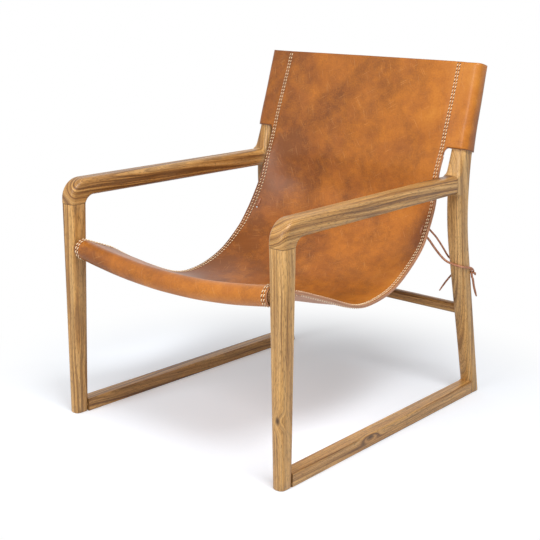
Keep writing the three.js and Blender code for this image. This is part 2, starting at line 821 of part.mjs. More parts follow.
// The wing of a sleeve at one height: round the post's outer face and back, to lie behind the seam.
// It is square to the post, so it drops as it goes back.
// Its points go on from the hide's edge column, on the sitter's left.
function wingAt(z) {
  const { outer, inner, front, rear } = backLegAt(z);
  const r = legCornerRadius;
  const foldRadius = (r + hideClearance) / Math.cos(Math.PI / (4 * foldSteps)) + hideThickness / 2;
  const fold = (x, y, from, to) =>
    steps(foldSteps).map((t) => {
      const angle = lerp(from, to, t);
      return [x + foldRadius * Math.cos(angle), y + foldRadius * Math.sin(angle)];
    });
  const lapY = front - midOffset + hideThickness + lapGap + bandGap;
  const quarter = Math.PI / 2;
  return [
    ...fold(outer - r, front + r, -quarter, 0),
    ...fold(outer - r, rear - r, 0, quarter),
    ...fold(inner + r, rear - r, quarter, 2 * quarter),
    [seamX + sleeveLap, lapY + sleeveLap / 2],
    [seamX, lapY],
    [seamX - sleeveLap, lapY],
  ].map(([x, y]) => {
    const cut = squareCut(z, Math.max(0, y - front));
    return new THREE.Vector3(x, y + cut.y, cut.z);
  });
}

// A sheet from a grid of middle points, some of them missing: each full cell becomes a quad.
// It lies between two distances from the middle, counted along the grid's normals towards the back.
// keep says which cells it has.
function thickSheet(grid, near, far, keep = () => true) {
  const corner = (r, c) => grid[r]?.[c] && r * grid[0].length + c;
  const cells = [];
  const normals = new Map();
  grid.forEach((line, r) =>
    line.forEach((_, c) => {
      const corners = [corner(r, c), corner(r, c + 1), corner(r + 1, c + 1), corner(r + 1, c)];
      if (corners.some((key) => typeof key !== "number")) return;
      const [p, q, s, t] = [grid[r][c], grid[r][c + 1], grid[r + 1][c + 1], grid[r + 1][c]];
      const normal = new THREE.Vector3().crossVectors(s.clone().sub(p), t.clone().sub(q)).normalize();
      for (const key of corners) {
        normals.set(key, (normals.get(key) ?? new THREE.Vector3()).add(normal));
      }
      if (keep(r, c)) cells.push(corners);
    }),
  );
  const points = [];
  const placed = new Map();
  const pointAt = (key) => {
    if (!placed.has(key)) {
      const middle = grid[Math.floor(key / grid[0].length)][key % grid[0].length];
      const normal = normals.get(key).clone().normalize();
      placed.set(key, points.length);
      points.push(middle.clone().addScaledVector(normal, near));
      points.push(middle.clone().addScaledVector(normal, far));
    }
    return placed.get(key);
  };
  const triangles = [];
  const rims = new Map();
  for (const corners of cells) {
    const around = corners.map(pointAt);
    const [a, b, c, d] = around;
    triangles.push([a, b, c], [a, c, d], [a + 1, c + 1, b + 1], [a + 1, d + 1, c + 1]);
    around.forEach((from, i) => {
      const to = around[(i + 1) % around.length];
      if (!rims.delete(`${to} ${from}`)) rims.set(`${from} ${to}`, [from, to]);
    });
  }
  for (const [from, to] of rims.values()) {
    triangles.push([to, from, from + 1], [to, from + 1, to + 1]);
  }
  return closedGeometry(points, triangles);
}

const hideGrid = hideRows.map((at, r) => {
  const across = columnsAt(at);
  const left = wingAt(at.z);
  const right = left.map((p) => new THREE.Vector3(-p.x, p.y, p.z)).reverse();
  const wings = r <= sleeveRowsList.length;
  return [...right.map((p) => (wings ? p : null)), ...across, ...left.map((p) => (wings ? p : null))];
});

// Edge bands: behind the outermost column of the free edge, from the slot to the front flap
function bandGeometry(side) {
  const wingColumns = wingAt(sleeveTop).length;
  const columns = hideGrid[0].length;
  const outermost = side < 0 ? wingColumns : columns - wingColumns - 2;
  const first = sleeveRowsList.length + slotRows.length;
  const last = hideRows.findIndex((at, r) => r > first && at.y < lapEnd.y) - 2;
  const near = hideThickness / 2 + bandGap;
  return thickSheet(hideGrid, near, near + bandThickness, (r, c) => c === outermost && r >= first && r < last);
}

// Holes for the laces, square to the hide
function laceHoleAt(side, height) {
  const x = edgeX - laceHoleInset;
  const pointAt = (t) => hidePoint(freeRow(t), x);
  let [high, low] = [0, railShare];
  for (const _ of steps(halvings)) {
    const t = (high + low) / 2;
    if (pointAt(t).z > height) high = t;
    else low = t;
  }
  const middle = pointAt(high);
  const acrossHide = hidePoint(freeRow(high), x + laceHoleDiameter).sub(middle);
  const alongHide = pointAt(low + 1 / edgeRows).sub(middle);
  const normal = new THREE.Vector3().crossVectors(acrossHide, alongHide).normalize();
  const reach = hideThickness + bandThickness + cutOverrun;
  const from = middle.clone().addScaledVector(normal, -reach);
  const to = middle.clone().addScaledVector(normal, reach);
  for (const end of [from, to]) end.x *= side;
  return toSolid(roundBar(from, to, laceHoleDiameter, laceHoleSides));
}

function laceHoles(side) {
  const slope = Math.hypot(1, (edgeCurve.getPoint(railShare).x - edgeCurve.getPoint(0).x) / edgeRise);
  const half = laceHoleSpacing / 2 / slope;
  const height = frontRailHeight + laceHoleShare * edgeRise;
  return [half, -half].map((above) => laceHoleAt(side, height + above));
}

// Laces
function laceGeometry(side, points) {
  const path = new THREE.CatmullRomCurve3(points.map(([x, y, z]) => new THREE.Vector3(side * x, y, z)));
  const outline = new THREE.Shape(
    steps(laceSides)
      .slice(1)
      .map((t) => new THREE.Vector2(Math.cos(t * 2 * Math.PI), Math.sin(t * 2 * Math.PI)))
      .map((corner) => corner.multiplyScalar(laceDiameter / 2)),
  );
  return new THREE.ExtrudeGeometry(outline, { steps: laceSteps, bevelEnabled: false, extrudePath: path });
}

const chair = new THREE.Group();
chair.position.y = -backLegAt(easedEdge).rear / 2;

function addPiece(name, geometry, material) {
  geometry.computeVertexNormals();
  const mesh = new THREE.Mesh(geometry, material);
  mesh.name = name;
  chair.add(mesh);
}

for (const [side, hand] of [
  [1, "left"],
  [-1, "right"],
]) {
  const wood = sidePieces(side);
  addPiece(`front_leg_${hand}`, toGeometry(wood.frontLeg), legTeak);
  addPiece(`back_leg_${hand}`, toGeometry(wood.backLeg), legTeak);
  addPiece(`arm_${hand}`, toGeometry(wood.arm), legTeak);
  addPiece(`sled_rail_${hand}`, toGeometry(wood.sled), railTeak);
  for (const dowel of dowelPlaces(side)) {
    addPiece(`${dowel.name}_${hand}`, dowelBar(dowel, 0), dowelWood);
  }
}
addPiece("front_rail", frontRailGeometry(), railTeak);
addPiece("rear_stretcher", stretcherGeometry(), railTeak);
const wholeHide = toSolid(thickSheet(hideGrid, -hideThickness / 2, hideThickness / 2));
const hide = subtractAll(wholeHide, [...laceHoles(1), ...laceHoles(-1)]);
addPiece("sling_hide", toGeometry(hide), saddleLeather);
for (const [side, hand] of [
  [1, "left"],
  [-1, "right"],
]) {
  const band = subtractAll(toSolid(bandGeometry(side)), laceHoles(side));
  addPiece(`edge_band_${hand}`, toGeometry(band), bandLeather);
  addPiece(`upper_lace_${hand}`, laceGeometry(side, upperLacePoints), laceLeather);
  addPiece(`lower_lace_${hand}`, laceGeometry(side, lowerLacePoints), laceLeather);
}

export default chair;
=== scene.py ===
"""Looks of the lounge chair: its oiled teak frame, its saddle leather sling, the stitching and the laces.

Every length below is in millimetres and is turned into metres where a mesh is made.
X runs to the sitter's left, -Y is the front and +Z is up.
The pieces are drawn with Y = 0 at the front face of the front legs, as in the part's source.
"""

import math
from collections import namedtuple
from functools import partial

import bmesh
import bpy
import numpy as np
from bpy.props import FloatProperty, FloatVectorProperty, IntProperty, PointerProperty
from bpy.types import Operator, Panel, PropertyGroup
from mathutils import Matrix, Vector


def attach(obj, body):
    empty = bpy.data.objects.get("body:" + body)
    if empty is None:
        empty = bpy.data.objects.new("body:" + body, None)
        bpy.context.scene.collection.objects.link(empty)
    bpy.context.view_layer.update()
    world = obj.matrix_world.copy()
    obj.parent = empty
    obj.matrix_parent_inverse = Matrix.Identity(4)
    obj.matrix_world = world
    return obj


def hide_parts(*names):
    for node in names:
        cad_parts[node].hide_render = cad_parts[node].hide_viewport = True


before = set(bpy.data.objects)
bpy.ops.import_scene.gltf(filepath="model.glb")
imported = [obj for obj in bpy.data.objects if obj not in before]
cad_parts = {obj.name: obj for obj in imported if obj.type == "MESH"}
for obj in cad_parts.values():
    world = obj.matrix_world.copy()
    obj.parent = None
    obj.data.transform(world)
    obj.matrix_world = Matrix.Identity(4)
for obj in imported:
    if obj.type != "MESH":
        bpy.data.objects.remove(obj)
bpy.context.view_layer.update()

bl_info = {
    "name": "Sling Lounge Chair",
    "version": (1, 0, 0),
    "blender": (4, 5, 0),
    "location": "3D View > Sidebar > Lounge Chair",
    "description": "Builds a teak lounge chair with one sling of saddle leather",
    "category": "Add Mesh",
}

MM = 0.001
FRONT_TO_MIDDLE = 388.737  # from the front legs' front face to the middle of the chair
SIDES = ((1, "left"), (-1, "right"))

# Frame
OVERALL_WIDTH = 650
REAR_INSET = 14
OVERALL_DEPTH = 778
POST_HEIGHT = 795
GLUE_GAP = 0.3
EASED_END = 2.5
EASED_RING = (0.7, 1.1)  # the ring in the middle of an eased end: how far it is from the end, and how far set in
EASING = ((0, 1), (0.3, 0.35), (1, 0))  # rings of an eased joint, in shares of the arris: from the joint, and set in
FRONT_LEG_HEIGHT = 496
FRONT_LEG_TOP = (42, 44)
FRONT_LEG_FOOT = (29, 37)
FRONT_LEG_SETBACK = 5
FRONT_LEG_INSET = 0.5
LEG_CORNER = 12
ARM_WIDTH = 42
ARM_TOP = 551.5
ARM_THICKNESS = 40
ARM_OUTER_BEND = 45
ARM_INNER_BEND = 25
ARM_CORNER = 11
ARM_UNDERSIDE = ARM_TOP - ARM_THICKNESS
BLOCK_FORWARD = 12
HAUNCH_FORWARD = 10.7
HAUNCH_SLOPE = 0.35
TOP_FILLET = 13
UNDER_FILLET = 9
COPE_DEPTH = 4
HEEL = (34.5, 36.5)
BEND_HEIGHT = 518
BEND_FORWARD = 109
BEND = (39, 46)
BEND_BLEND = 150
POST_TOP_FORWARD = 38
POST_TOP = (39, 38)
POST_TOP_INSET = 4
POST_RAKE = (BEND_FORWARD - POST_TOP_FORWARD) / (POST_HEIGHT - BEND_HEIGHT)
SLED_HEIGHT = 30
SLED_WIDTH = 33
SLED_CORNER = 3
SLED_FILLET = 9
RAIL_DIAMETER = 36
RAIL_HEIGHT = 396.5
RAIL_SAG = 28
STRETCHER = (23, 25)
STRETCHER_CENTRE = 219
STRETCHER_CORNER = 9

# Leather
HIDE_THICKNESS = 3.5
HIDE_CLEARANCE = 0.35
SLEEVE_TOP = POST_HEIGHT + 5
SLEEVE_FOOT = ARM_TOP + 61
SLOT_WIDTH = 10
SLOT_CORNER = 13
SLEEVE_SEAM = 30
SLEEVE_LAP = 40
LAP_START = 15
SEAM_LEAN = (8.5, 5)  # how far the real seams lean to the sitter's left at the top: the right one, then the left one
SLEEVE_LIFT = (-1.0, 4.0)  # how much higher than drawn the real sleeves end: the right one, then the left one
SLOT_SHARE = 0.034  # of the free edge, which the slot beside a sleeve takes up
LAP_GAP = 0.4
FRONT_SHOULDER = 3
FLAP_REACH = 58
FLAP_LAP = 30
RAIL_SLACK = 0.05
RIM_BULGE = 0.5
TOP_SAG = 6
HIP_SAG = 40
BAND_WIDTH = 22
BAND_THICKNESS = 2.4
BAND_GAP = 0.4
HOLE_HEIGHT = 423
HOLE_INSET = 18
HOLE_SPACING = 19.6
HOLE_RISE = 0.88  # share of the spacing that goes upwards, as the leather slants there
THONG_FLATNESS = 0.86
KNOT_PLACE = (314.0, 712.5, 311.5)
KNOT_RADIUS = 3.0
KNOT_TURNS = 1.5

# Columns of the hide beside its free edge, and the two of them that are sewn
EDGE_DISTANCES = (0, 1.2, 3, 4.5, 6, 7.5, 9, 10.5, 12, 14, 16, 18, 22, 27, 34)
STITCH_ROWS = (4.5, 10.5)
STITCH_STEPS = (-0.28, -0.23, -0.12, 0.0, 0.12, 0.23, 0.28)  # along one stitch, in shares of the pitch
PAST_SEAM = -9.0  # marks the columns beyond that edge, by the sleeves and the slots
FAR_FROM_EDGE = 99.0

FAR_FROM_JOINT = 50.0  # where the wood shows nothing of a joint
HALVINGS = 24  # steps of a search that halves its range

# The hide's free edge from the sleeves to the front rail: shares of the run and of the rise, then the share of the
# hide's sag, how square the sag is, and how far the real hide's left edge is pushed out and its right one pulled in.
EDGE = (
    (1.000, 1.000, 0.35, 2.0, 0.0),
    (0.968, 0.759, 0.55, 2.4, -2.0),
    (0.949, 0.574, 0.80, 3.0, 2.0),
    (0.929, 0.387, 0.97, 3.6, 7.0),
    (0.897, 0.202, 1.00, 4.0, 10.0),
    (0.857, 0.016, 0.92, 4.0, 12.0),
    (0.792, -0.169, 0.72, 3.4, 7.0),
    (0.686, -0.369, 0.50, 2.6, 0.5),
    (0.565, -0.462, 0.40, 2.2, -8.0),
    (0.445, -0.439, 0.38, 2.0, -11.5),
    (0.285, -0.257, 0.50, 2.0, -9.0),
    (0.149, -0.072, 0.66, 2.0, -2.0),
)

# The camera as fitted to the photograph: in degrees, in the part's millimetres, and in pixels
VIEW_AZIMUTH, VIEW_ELEVATION, VIEW_ROLL = 40.46, 14.48, 0.65
VIEW_TARGET = (35.8, 314.43, 361.58)
VIEW_DISTANCE = 2650.01
PICTURE_SIZE = 540
PICTURE_CENTRE = (274.78, 263.45)
FOCAL_LENGTH = 1174.51
SENSOR_WIDTH = 36

# Routes of the laces on the sitter's left
UPPER_LACE = (
    (240.3, 580.3, 425.7), (240.3, 582.3, 429.1), (240.7, 585.1, 432.2), (242, 588.1, 432.9), (243.7, 591, 431.3),
    (246.3, 595.2, 428.9), (250.5, 604, 422), (257, 627, 402), (263, 651, 376), (268.3, 668, 356), (271, 680, 345),
    (271, 694, 338.5), (275.2, 706.9, 333), (286, 711.6, 329), (299, 713.4, 323), (306.8, 712.1, 318),
    (311.2, 709.4, 312), (313, 709.3, 304), (314, 713, 296), (314, 720, 276), (314, 733, 251),
)
LOWER_LACE = (
    (240.3, 580.1, 425.5), (240.3, 578.3, 422.2), (240.7, 576.3, 417.3), (242, 578.3, 416), (243.7, 581, 414.1),
    (246.4, 585.2, 411.6), (252, 599, 400), (259, 620, 377), (266, 640, 357.5), (275, 652, 346.4),
    (286, 659.4, 340), (298.5, 661, 337.8), (310, 665.5, 335.5), (314.1, 677, 332.5), (314, 690, 329.5),
    (314, 700, 327), (314.5, 708, 322.5), (313.5, 714.5, 316), (307, 717.8, 311.5), (296, 718.2, 309.5),
    (284, 717, 309), (273, 711.5, 308), (263, 704, 302.5), (250, 697, 283), (237, 690, 259),
)


def linear(hex_code, alpha=1.0):
    """Turns a written sRGB colour into the linear one that Blender works in."""
    parts = [int(hex_code[i : i + 2], 16) / 255 for i in (1, 3, 5)]
    return tuple(c / 12.92 if c <= 0.04045 else ((c + 0.055) / 1.055) ** 2.4 for c in parts) + (alpha,)


def colour(label, text, hex_code):
    return FloatVectorProperty(
        name=label, description=text, subtype="COLOR", size=4, min=0, max=1, default=linear(hex_code)
    )


class ChairSizes(PropertyGroup):
    """Sizes of the workmanship, which leave the chair's outline as it is"""

    thread: FloatProperty(
        name="Thread", description="Thickness of the waxed thread", default=1.9 * MM, min=0.4 * MM, unit="LENGTH"
    )
    # The real stitches are about 7.4 mm apart, and are drawn a little coarser so that each one shows
    stitch_pitch: FloatProperty(
        name="Stitch pitch", description="From one needle hole to the next", default=8.4 * MM, unit="LENGTH"
    )
    stitch_slant: FloatProperty(
        name="Stitch slant", description="How far a stitch leans across its row", default=0.9 * MM, unit="LENGTH"
    )
    arris: FloatProperty(
        name="Arris", description="Rounding of the wood's edges at a joint", default=0.5 * MM, unit="LENGTH"
    )
    lace: FloatProperty(name="Lace", description="Thickness of a lace", default=5.0 * MM, unit="LENGTH")
    lace_hole: FloatProperty(name="Lace hole", description="Diameter", default=5.6 * MM, unit="LENGTH")
    hide_columns: IntProperty(name="Hide columns", description="Steps across the leather", default=56, min=8)
    hide_rows: IntProperty(name="Hide rows", description="Steps along the leather's free edge", default=150, min=20)


class ChairColours(PropertyGroup):
    """Colours of the woods, leathers and threads"""

    teak_light: colour("Teak, light", "Early wood", "#DCAC6C")
    teak_mid: colour("Teak, middle", "Body of the wood", "#B98546")
    teak_dark: colour("Teak, dark", "Late wood and streaks", "#5F3D1E")
    leather_light: colour("Leather, light", "Where the dye is thin", "#D28A33")
    leather_mid: colour("Leather, middle", "Body of the dye", "#BB7022")
    leather_dark: colour("Leather, dark", "Where the dye has gathered", "#7C4517")
    flesh: colour("Leather, flesh side", "Underside of the hide", "#BE8055")
    raw_edge: colour("Leather, cut edge", "Burnished edge", "#C48C66")
    thread: colour("Thread", "Waxed linen", "#FAE8C8")
    lace: colour("Lace", "Cut thong", "#B27656")
    dowel: colour("Dowel", "Plain hardwood", "#D8B98A")
    floor: colour("Floor", "Studio paper", "#EDF3FB")


# Mesh helpers


def lerp(a, b, t):
    return a + (b - a) * t


def clamp01(t):
    return min(1.0, max(0.0, t))


def smooth(t):
    t = clamp01(t)
    return t * t * (3 - 2 * t)


def shares(n):
    return [i / n for i in range(n + 1)]


def curve_at(points, t):
    """A point at share t of a smooth curve through the points."""
    points = np.asarray(points, float)
    last = len(points) - 1
    i = min(int(last * t), last - 1)
    w = last * t - i
    p0, p1, p2, p3 = (points[min(max(i + k, 0), last)] for k in (-1, 0, 1, 2))
    v0, v1 = (p2 - p0) / 2, (p3 - p1) / 2
    return (2 * p1 - 2 * p2 + v0 + v1) * w**3 + (-3 * p1 + 3 * p2 - 2 * v0 - v1) * w**2 + v0 * w + p1


def unit(v):
    v = np.asarray(v, float)
    return v / max(np.linalg.norm(v), 1e-12)


def make_piece(name, points, faces, materials, face_materials=None, attributes=None, sharp=35):
    """A mesh object from points in millimetres, with smooth faces apart from edges sharper than an angle."""
    mesh = bpy.data.meshes.new(name)
    placed = (np.asarray(points, float) - (0, FRONT_TO_MIDDLE, 0)) * MM
    mesh.from_pydata(placed.tolist(), [], [tuple(map(int, f)) for f in faces])
    for material in materials:
        mesh.materials.append(material)
    if face_materials is not None:
        mesh.polygons.foreach_set("material_index", np.asarray(face_materials, np.int32))
    for key, values in (attributes or {}).items():
        layer = mesh.attributes.new(key, "FLOAT_VECTOR", "POINT")
        layer.data.foreach_set("vector", np.asarray(values, np.float32).ravel())
    work = bmesh.new()
    work.from_mesh(mesh)
    bmesh.ops.remove_doubles(work, verts=work.verts, dist=1e-6)
    bmesh.ops.dissolve_degenerate(work, edges=work.edges, dist=1e-7)
    bmesh.ops.recalc_face_normals(work, faces=work.faces)
    work.to_mesh(mesh)
    work.free()
    mesh.shade_smooth()
    mesh.set_sharp_from_angle(angle=math.radians(sharp))
    piece = bpy.data.objects.new(name, mesh)
    bpy.context.scene.collection.objects.link(piece)
    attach(piece, "root")
    return piece


def loft(rings):
    """Points and faces of a closed tube of rings with as many points each."""
    rings = [np.asarray(ring, float) for ring in rings]
    count = len(rings[0])
    points = np.concatenate(rings + [rings[0].mean(0)[None], rings[-1].mean(0)[None]])
    faces = []
    for r in range(len(rings) - 1):
        for i in range(count):
            j = (i + 1) % count
            faces.append((r * count + i, r * count + j, (r + 1) * count + j, (r + 1) * count + i))
    first, last, base = len(points) - 2, len(points) - 1, (len(rings) - 1) * count
    for i in range(count):
        j = (i + 1) % count
        faces.append((first, j, i))
        faces.append((last, base + i, base + j))
    return points, faces


def rounded_section(half_a, half_b, radius, near_radius=None, corner_steps=8, side_steps=3):
    """Offsets of a rounded rectangle's outline from its middle.

    The corners on the near side of its second axis can have a radius of their own.
    """
    most = min(half_a, half_b)
    far, near = min(radius, most), min(radius if near_radius is None else near_radius, most)
    corners = ((1, 1, far), (-1, 1, far), (-1, -1, near), (1, -1, near))
    arcs = []
    for quarter, (sa, sb, r) in enumerate(corners):
        turns = [(quarter + t) * math.pi / 2 for t in shares(corner_steps)]
        arcs.append([(sa * (half_a - r) + r * math.cos(a), sb * (half_b - r) + r * math.sin(a)) for a in turns])
    outline = []
    for arc, following in zip(arcs, arcs[1:] + arcs[:1]):
        outline += arc
        start, end = np.array(arc[-1]), np.array(following[0])
        outline += [tuple(lerp(start, end, t)) for t in shares(side_steps)[1:-1]]
    return np.array(outline)


def rung(p, q, x0, x1, radius, inset=0.0, near_radius=None):
    """Ring of a wooden piece between two opposite points (y, z) of its side view, from x0 to x1."""
    p, q = np.array(p, float), np.array(q, float)
    along = unit(q - p)
    middle = (p + q) / 2
    near = None if near_radius is None else max(near_radius - inset, 0.3)
    section = rounded_section(
        abs(x1 - x0) / 2 - inset, np.linalg.norm(q - p) / 2 - inset, max(radius - inset, 0.5), near
    )
    x = (x0 + x1) / 2 + section[:, 0]
    yz = middle + section[:, 1:2] * along
    return np.column_stack([x, yz])


def tube(path, radius, sides=10, section=None, taper=None):
    """Rings of a tube along a path, without twist."""
    path = np.asarray(path, float)
    rings = []
    tangent = unit(path[1] - path[0])
    across = unit(np.cross(tangent, (0.3, 0.2, 1.0)))
    for i, at in enumerate(path):
        ahead = unit(path[min(i + 1, len(path) - 1)] - path[max(i - 1, 0)])
        across = unit(across - ahead * np.dot(across, ahead))
        other = np.cross(ahead, across)
        scale = radius * (taper(i / (len(path) - 1)) if taper else 1)
        outline = section if section is not None else [
            (math.cos(2 * math.pi * k / sides), math.sin(2 * math.pi * k / sides)) for k in range(sides)
        ]
        rings.append([at + (a * across + b * other) * scale for a, b in outline])
    return rings


# Outlines of the legs in the side view


def front_leg_at(z):
    t = z / FRONT_LEG_HEIGHT
    outer = OVERALL_WIDTH / 2 - lerp(FRONT_LEG_INSET, 0, t)
    front = lerp(FRONT_LEG_SETBACK, 0, t)
    width, depth = (lerp(FRONT_LEG_FOOT[i], FRONT_LEG_TOP[i], t) for i in (0, 1))
    return outer, outer - width, front, front + depth


def back_leg_rear(z):
    bend = OVERALL_DEPTH - BEND_FORWARD
    top = OVERALL_DEPTH - POST_TOP_FORWARD
    upper_run = POST_HEIGHT - BEND_HEIGHT
    t = (z - BEND_HEIGHT + BEND_BLEND) / (2 * BEND_BLEND)
    if t <= 0:
        return lerp(OVERALL_DEPTH, bend, z / BEND_HEIGHT)
    if t >= 1:
        return lerp(bend, top, (z - BEND_HEIGHT) / upper_run)
    start = lerp(OVERALL_DEPTH, bend, (BEND_HEIGHT - BEND_BLEND) / BEND_HEIGHT)
    end = lerp(bend, top, BEND_BLEND / upper_run)
    return start * (1 - t) ** 2 + 2 * bend * t * (1 - t) + end * t**2


def back_leg_rake(z):
    """The front face of a back leg, as if no arm met it."""
    t = clamp01(z / BEND_HEIGHT)
    u = clamp01((z - BEND_HEIGHT) / (POST_HEIGHT - BEND_HEIGHT))
    return back_leg_rear(z) - lerp(lerp(HEEL[1], BEND[1], smooth(t)), POST_TOP[1], smooth(u))


BLOCK_FACE = back_leg_rake(ARM_TOP - ARM_THICKNESS / 2) - BLOCK_FORWARD
HAUNCH_FOOT = back_leg_rake(ARM_TOP) - HAUNCH_FORWARD


def fillet_at(t):
    """The curve (y, z) from an arm's top up into the post's haunch, at share t of its way."""
    length = math.hypot(HAUNCH_SLOPE, 1)
    y = HAUNCH_FOOT - TOP_FILLET * (1 - t) ** 2 + TOP_FILLET * HAUNCH_SLOPE / length * t**2
    return y, ARM_TOP + TOP_FILLET / length * t**2


def fillet_share_at(y):
    low, high = 0.0, 1.0
    for _ in range(HALVINGS):
        t = (low + high) / 2
        low, high = (t, high) if fillet_at(t)[0] < y else (low, t)
    return high


BLOCK_SHARE = fillet_share_at(BLOCK_FACE)
BLOCK_TOP = fillet_at(BLOCK_SHARE)[1]
BLOCK_BOTTOM = ARM_UNDERSIDE - GLUE_GAP


def back_leg_front(z):
    """The front face of a back leg, with the block and the haunch at the arm's joint."""
    rake = back_leg_rake(z)
    fillet = (z - ARM_TOP) / (fillet_at(1)[1] - ARM_TOP)
    if fillet >= 1:
        return min(rake, HAUNCH_FOOT + (z - ARM_TOP) * HAUNCH_SLOPE)
    if z > BLOCK_TOP:
        return fillet_at(math.sqrt(fillet))[0]
    if z >= BLOCK_BOTTOM:
        return BLOCK_FACE
    into = clamp01((z - BLOCK_BOTTOM + UNDER_FILLET) / UNDER_FILLET)
    return lerp(BLOCK_FACE, rake, math.sqrt(1 - into**2))


def back_leg_at(z):
    t = clamp01(z / BEND_HEIGHT)
    u = clamp01((z - BEND_HEIGHT) / (POST_HEIGHT - BEND_HEIGHT))
    width = lerp(lerp(HEEL[0], BEND[0], t), POST_TOP[0], u)
    outer = OVERALL_WIDTH / 2 - REAR_INSET - POST_TOP_INSET * u
    return outer, outer - width, back_leg_front(z), back_leg_rear(z)


def square_cut(z, back):
    """A cut square to the raked post, so far behind its front edge: how far the post has moved, and the height."""
    drop = POST_RAKE * back
    return back_leg_rear(z - drop) - back_leg_rear(z), z - drop


def joint_corner(z):
    """Rounding of the block's front corners, which take over the arm's rounded outline."""
    past = max(ARM_UNDERSIDE + ARM_CORNER - z, z - BLOCK_TOP + ARM_CORNER, 0)
    if past >= ARM_CORNER:
        return lerp(ARM_CORNER, LEG_CORNER, clamp01((past - ARM_CORNER) / ARM_CORNER))
    return max(0.6, ARM_CORNER - math.sqrt(ARM_CORNER**2 - past**2))


def corner_drop(past):
    """How far a leg's rounded corner has fallen away, so far past the end of the flat face."""
    past = min(max(past, 0), LEG_CORNER)
    return LEG_CORNER - math.sqrt(LEG_CORNER**2 - past**2)


def leg_face(leg_at, side, facing, x, z):
    """Y of a leg's front face (facing -1) or rear face (facing 1) at a place, round its corners too."""
    outer, inner, front, rear = leg_at(max(z, 0))
    middle = side * (outer + inner) / 2
    drop = min(corner_drop(abs(x - middle) - ((outer - inner) / 2 - LEG_CORNER)), COPE_DEPTH)
    return front + drop if facing < 0 else rear - drop


def front_leg_rings(side, arris):
    height = FRONT_LEG_HEIGHT
    low = [(0, EASED_END), EASED_RING, (EASED_END, 0)]
    high = [(height - away * arris, inset * arris) for away, inset in EASING[::-1]]
    rings = []
    for z, inset in low + [(lerp(EASED_END, height - arris, t), 0) for t in shares(24)[1:-1]] + high:
        outer, inner, front, rear = front_leg_at(z)
        rings.append(rung((front, z), (rear, z), side * inner, side * outer, LEG_CORNER, inset))
    return rings


def back_leg_rings(side):
    """Rings that lie close at the arm's joint, and above it turn square to the rake."""
    top = POST_HEIGHT - EASED_END
    edge = [1 - math.cos(t * math.pi / 2) for t in shares(8)[1:]]
    heights = [lerp(EASED_END, BLOCK_BOTTOM - UNDER_FILLET, t) for t in shares(44)]
    heights += [BLOCK_BOTTOM - UNDER_FILLET * (1 - math.sin(t * math.pi / 2)) for t in shares(8)[1:]]
    heights += [ARM_UNDERSIDE + ARM_CORNER * t for t in edge]
    heights += [lerp(ARM_UNDERSIDE + ARM_CORNER, BLOCK_TOP - ARM_CORNER, t) for t in shares(3)[1:]]
    heights += [BLOCK_TOP - ARM_CORNER * t for t in edge[-2::-1]] + [BLOCK_TOP]
    heights += [fillet_at(lerp(BLOCK_SHARE, 1, t))[1] for t in shares(10)[1:]]
    heights += [lerp(fillet_at(1)[1], SLEEVE_FOOT, t) for t in shares(8)[1:]]
    heights += [lerp(SLEEVE_FOOT, top, t) for t in shares(24)[1:]]
    levels = [(0, EASED_END), EASED_RING] + [(z, 0) for z in heights]
    levels += [(POST_HEIGHT - EASED_RING[0], EASED_RING[1]), (POST_HEIGHT, EASED_END)]
    rings = []
    for z, inset in levels:
        outer, inner, front, rear = back_leg_at(z)
        moved, low = square_cut(z, (rear - front) * clamp01((z - SLEEVE_FOOT) / (top - SLEEVE_FOOT)))
        ends = (front, z), (rear + moved, low)
        rings.append(rung(*ends, side * inner, side * outer, LEG_CORNER, inset, joint_corner(z)))
    return rings


def arm_inset(y):
    return REAR_INSET * clamp01((y - FRONT_LEG_TOP[1]) / (BLOCK_FACE - FRONT_LEG_TOP[1]))


def sled_inset(y):
    start, end = front_leg_at(0)[3], back_leg_at(0)[2]
    return REAR_INSET * clamp01((y - start) / (end - start))


# Boards: where each wooden piece was sawn from its log, in millimetres, with the grain along the first number
Board = namedtuple("Board", "along across origin lean tone")
BOARDS = {
    "front_leg_left": Board((0, 0, 1), (1, 0, 0), (95, 62, 300), 0.02, 0.04),
    "front_leg_right": Board((0, 0, 1), (1, 0, 0), (120, -38, 900), -0.015, 0.03),
    "back_leg_left": Board((0, -0.1, 1), (1, 0, 0), (18, 66, 1500), 0.03, 0.05),
    "back_leg_right": Board((0, -0.1, 1), (1, 0, 0), (70, 90, 2300), 0.02, 0.0),
    "arm_left": Board((0.02, 1, 0), (1, 0, 0), (30, 74, 3100), 0.012, -0.03),
    "arm_right": Board((-0.02, 1, 0), (1, 0, 0), (-60, 58, 4200), -0.012, -0.05),
    "sled_rail_left": Board((0, 1, 0), (1, 0, 0), (46, 60, 5000), 0.015, 0.0),
    "sled_rail_right": Board((0, 1, 0), (1, 0, 0), (-80, 44, 6100), 0.02, -0.02),
    "front_rail": Board((1, 0, 0), (0, 1, 0), (60, 60, 7000), 0.01, -0.13),
    "rear_stretcher": Board((1, 0, 0), (0, 1, 0), (50, 80, 8000), 0.01, -0.02),
}


# Knots in the wood: middle, and how far the grain swerves round it along each axis
KNOTS = (
    ((321, 309, 24), (26, 62, 18)),
    ((312, 4, 150), (22, 26, 40)),
    ((-318, 520, 20), (26, 30, 26)),
    ((323, 705, 300), (22, 22, 34)),
)


def board_places(name, points):
    """Each point's place in the log: along the grain, then across it from the log's heart."""
    board = BOARDS[name]
    points = np.asarray(points, float)
    along = unit(board.along)
    across = unit(np.asarray(board.across) - along * np.dot(board.across, along))
    third = np.cross(along, across)
    a = points @ along
    places = np.column_stack([a + board.origin[2], points @ across, points @ third])
    centre = places.mean(0)
    places[:, 1] += board.origin[0] - centre[1] + a * board.lean
    places[:, 2] += board.origin[1] - centre[2]
    return places


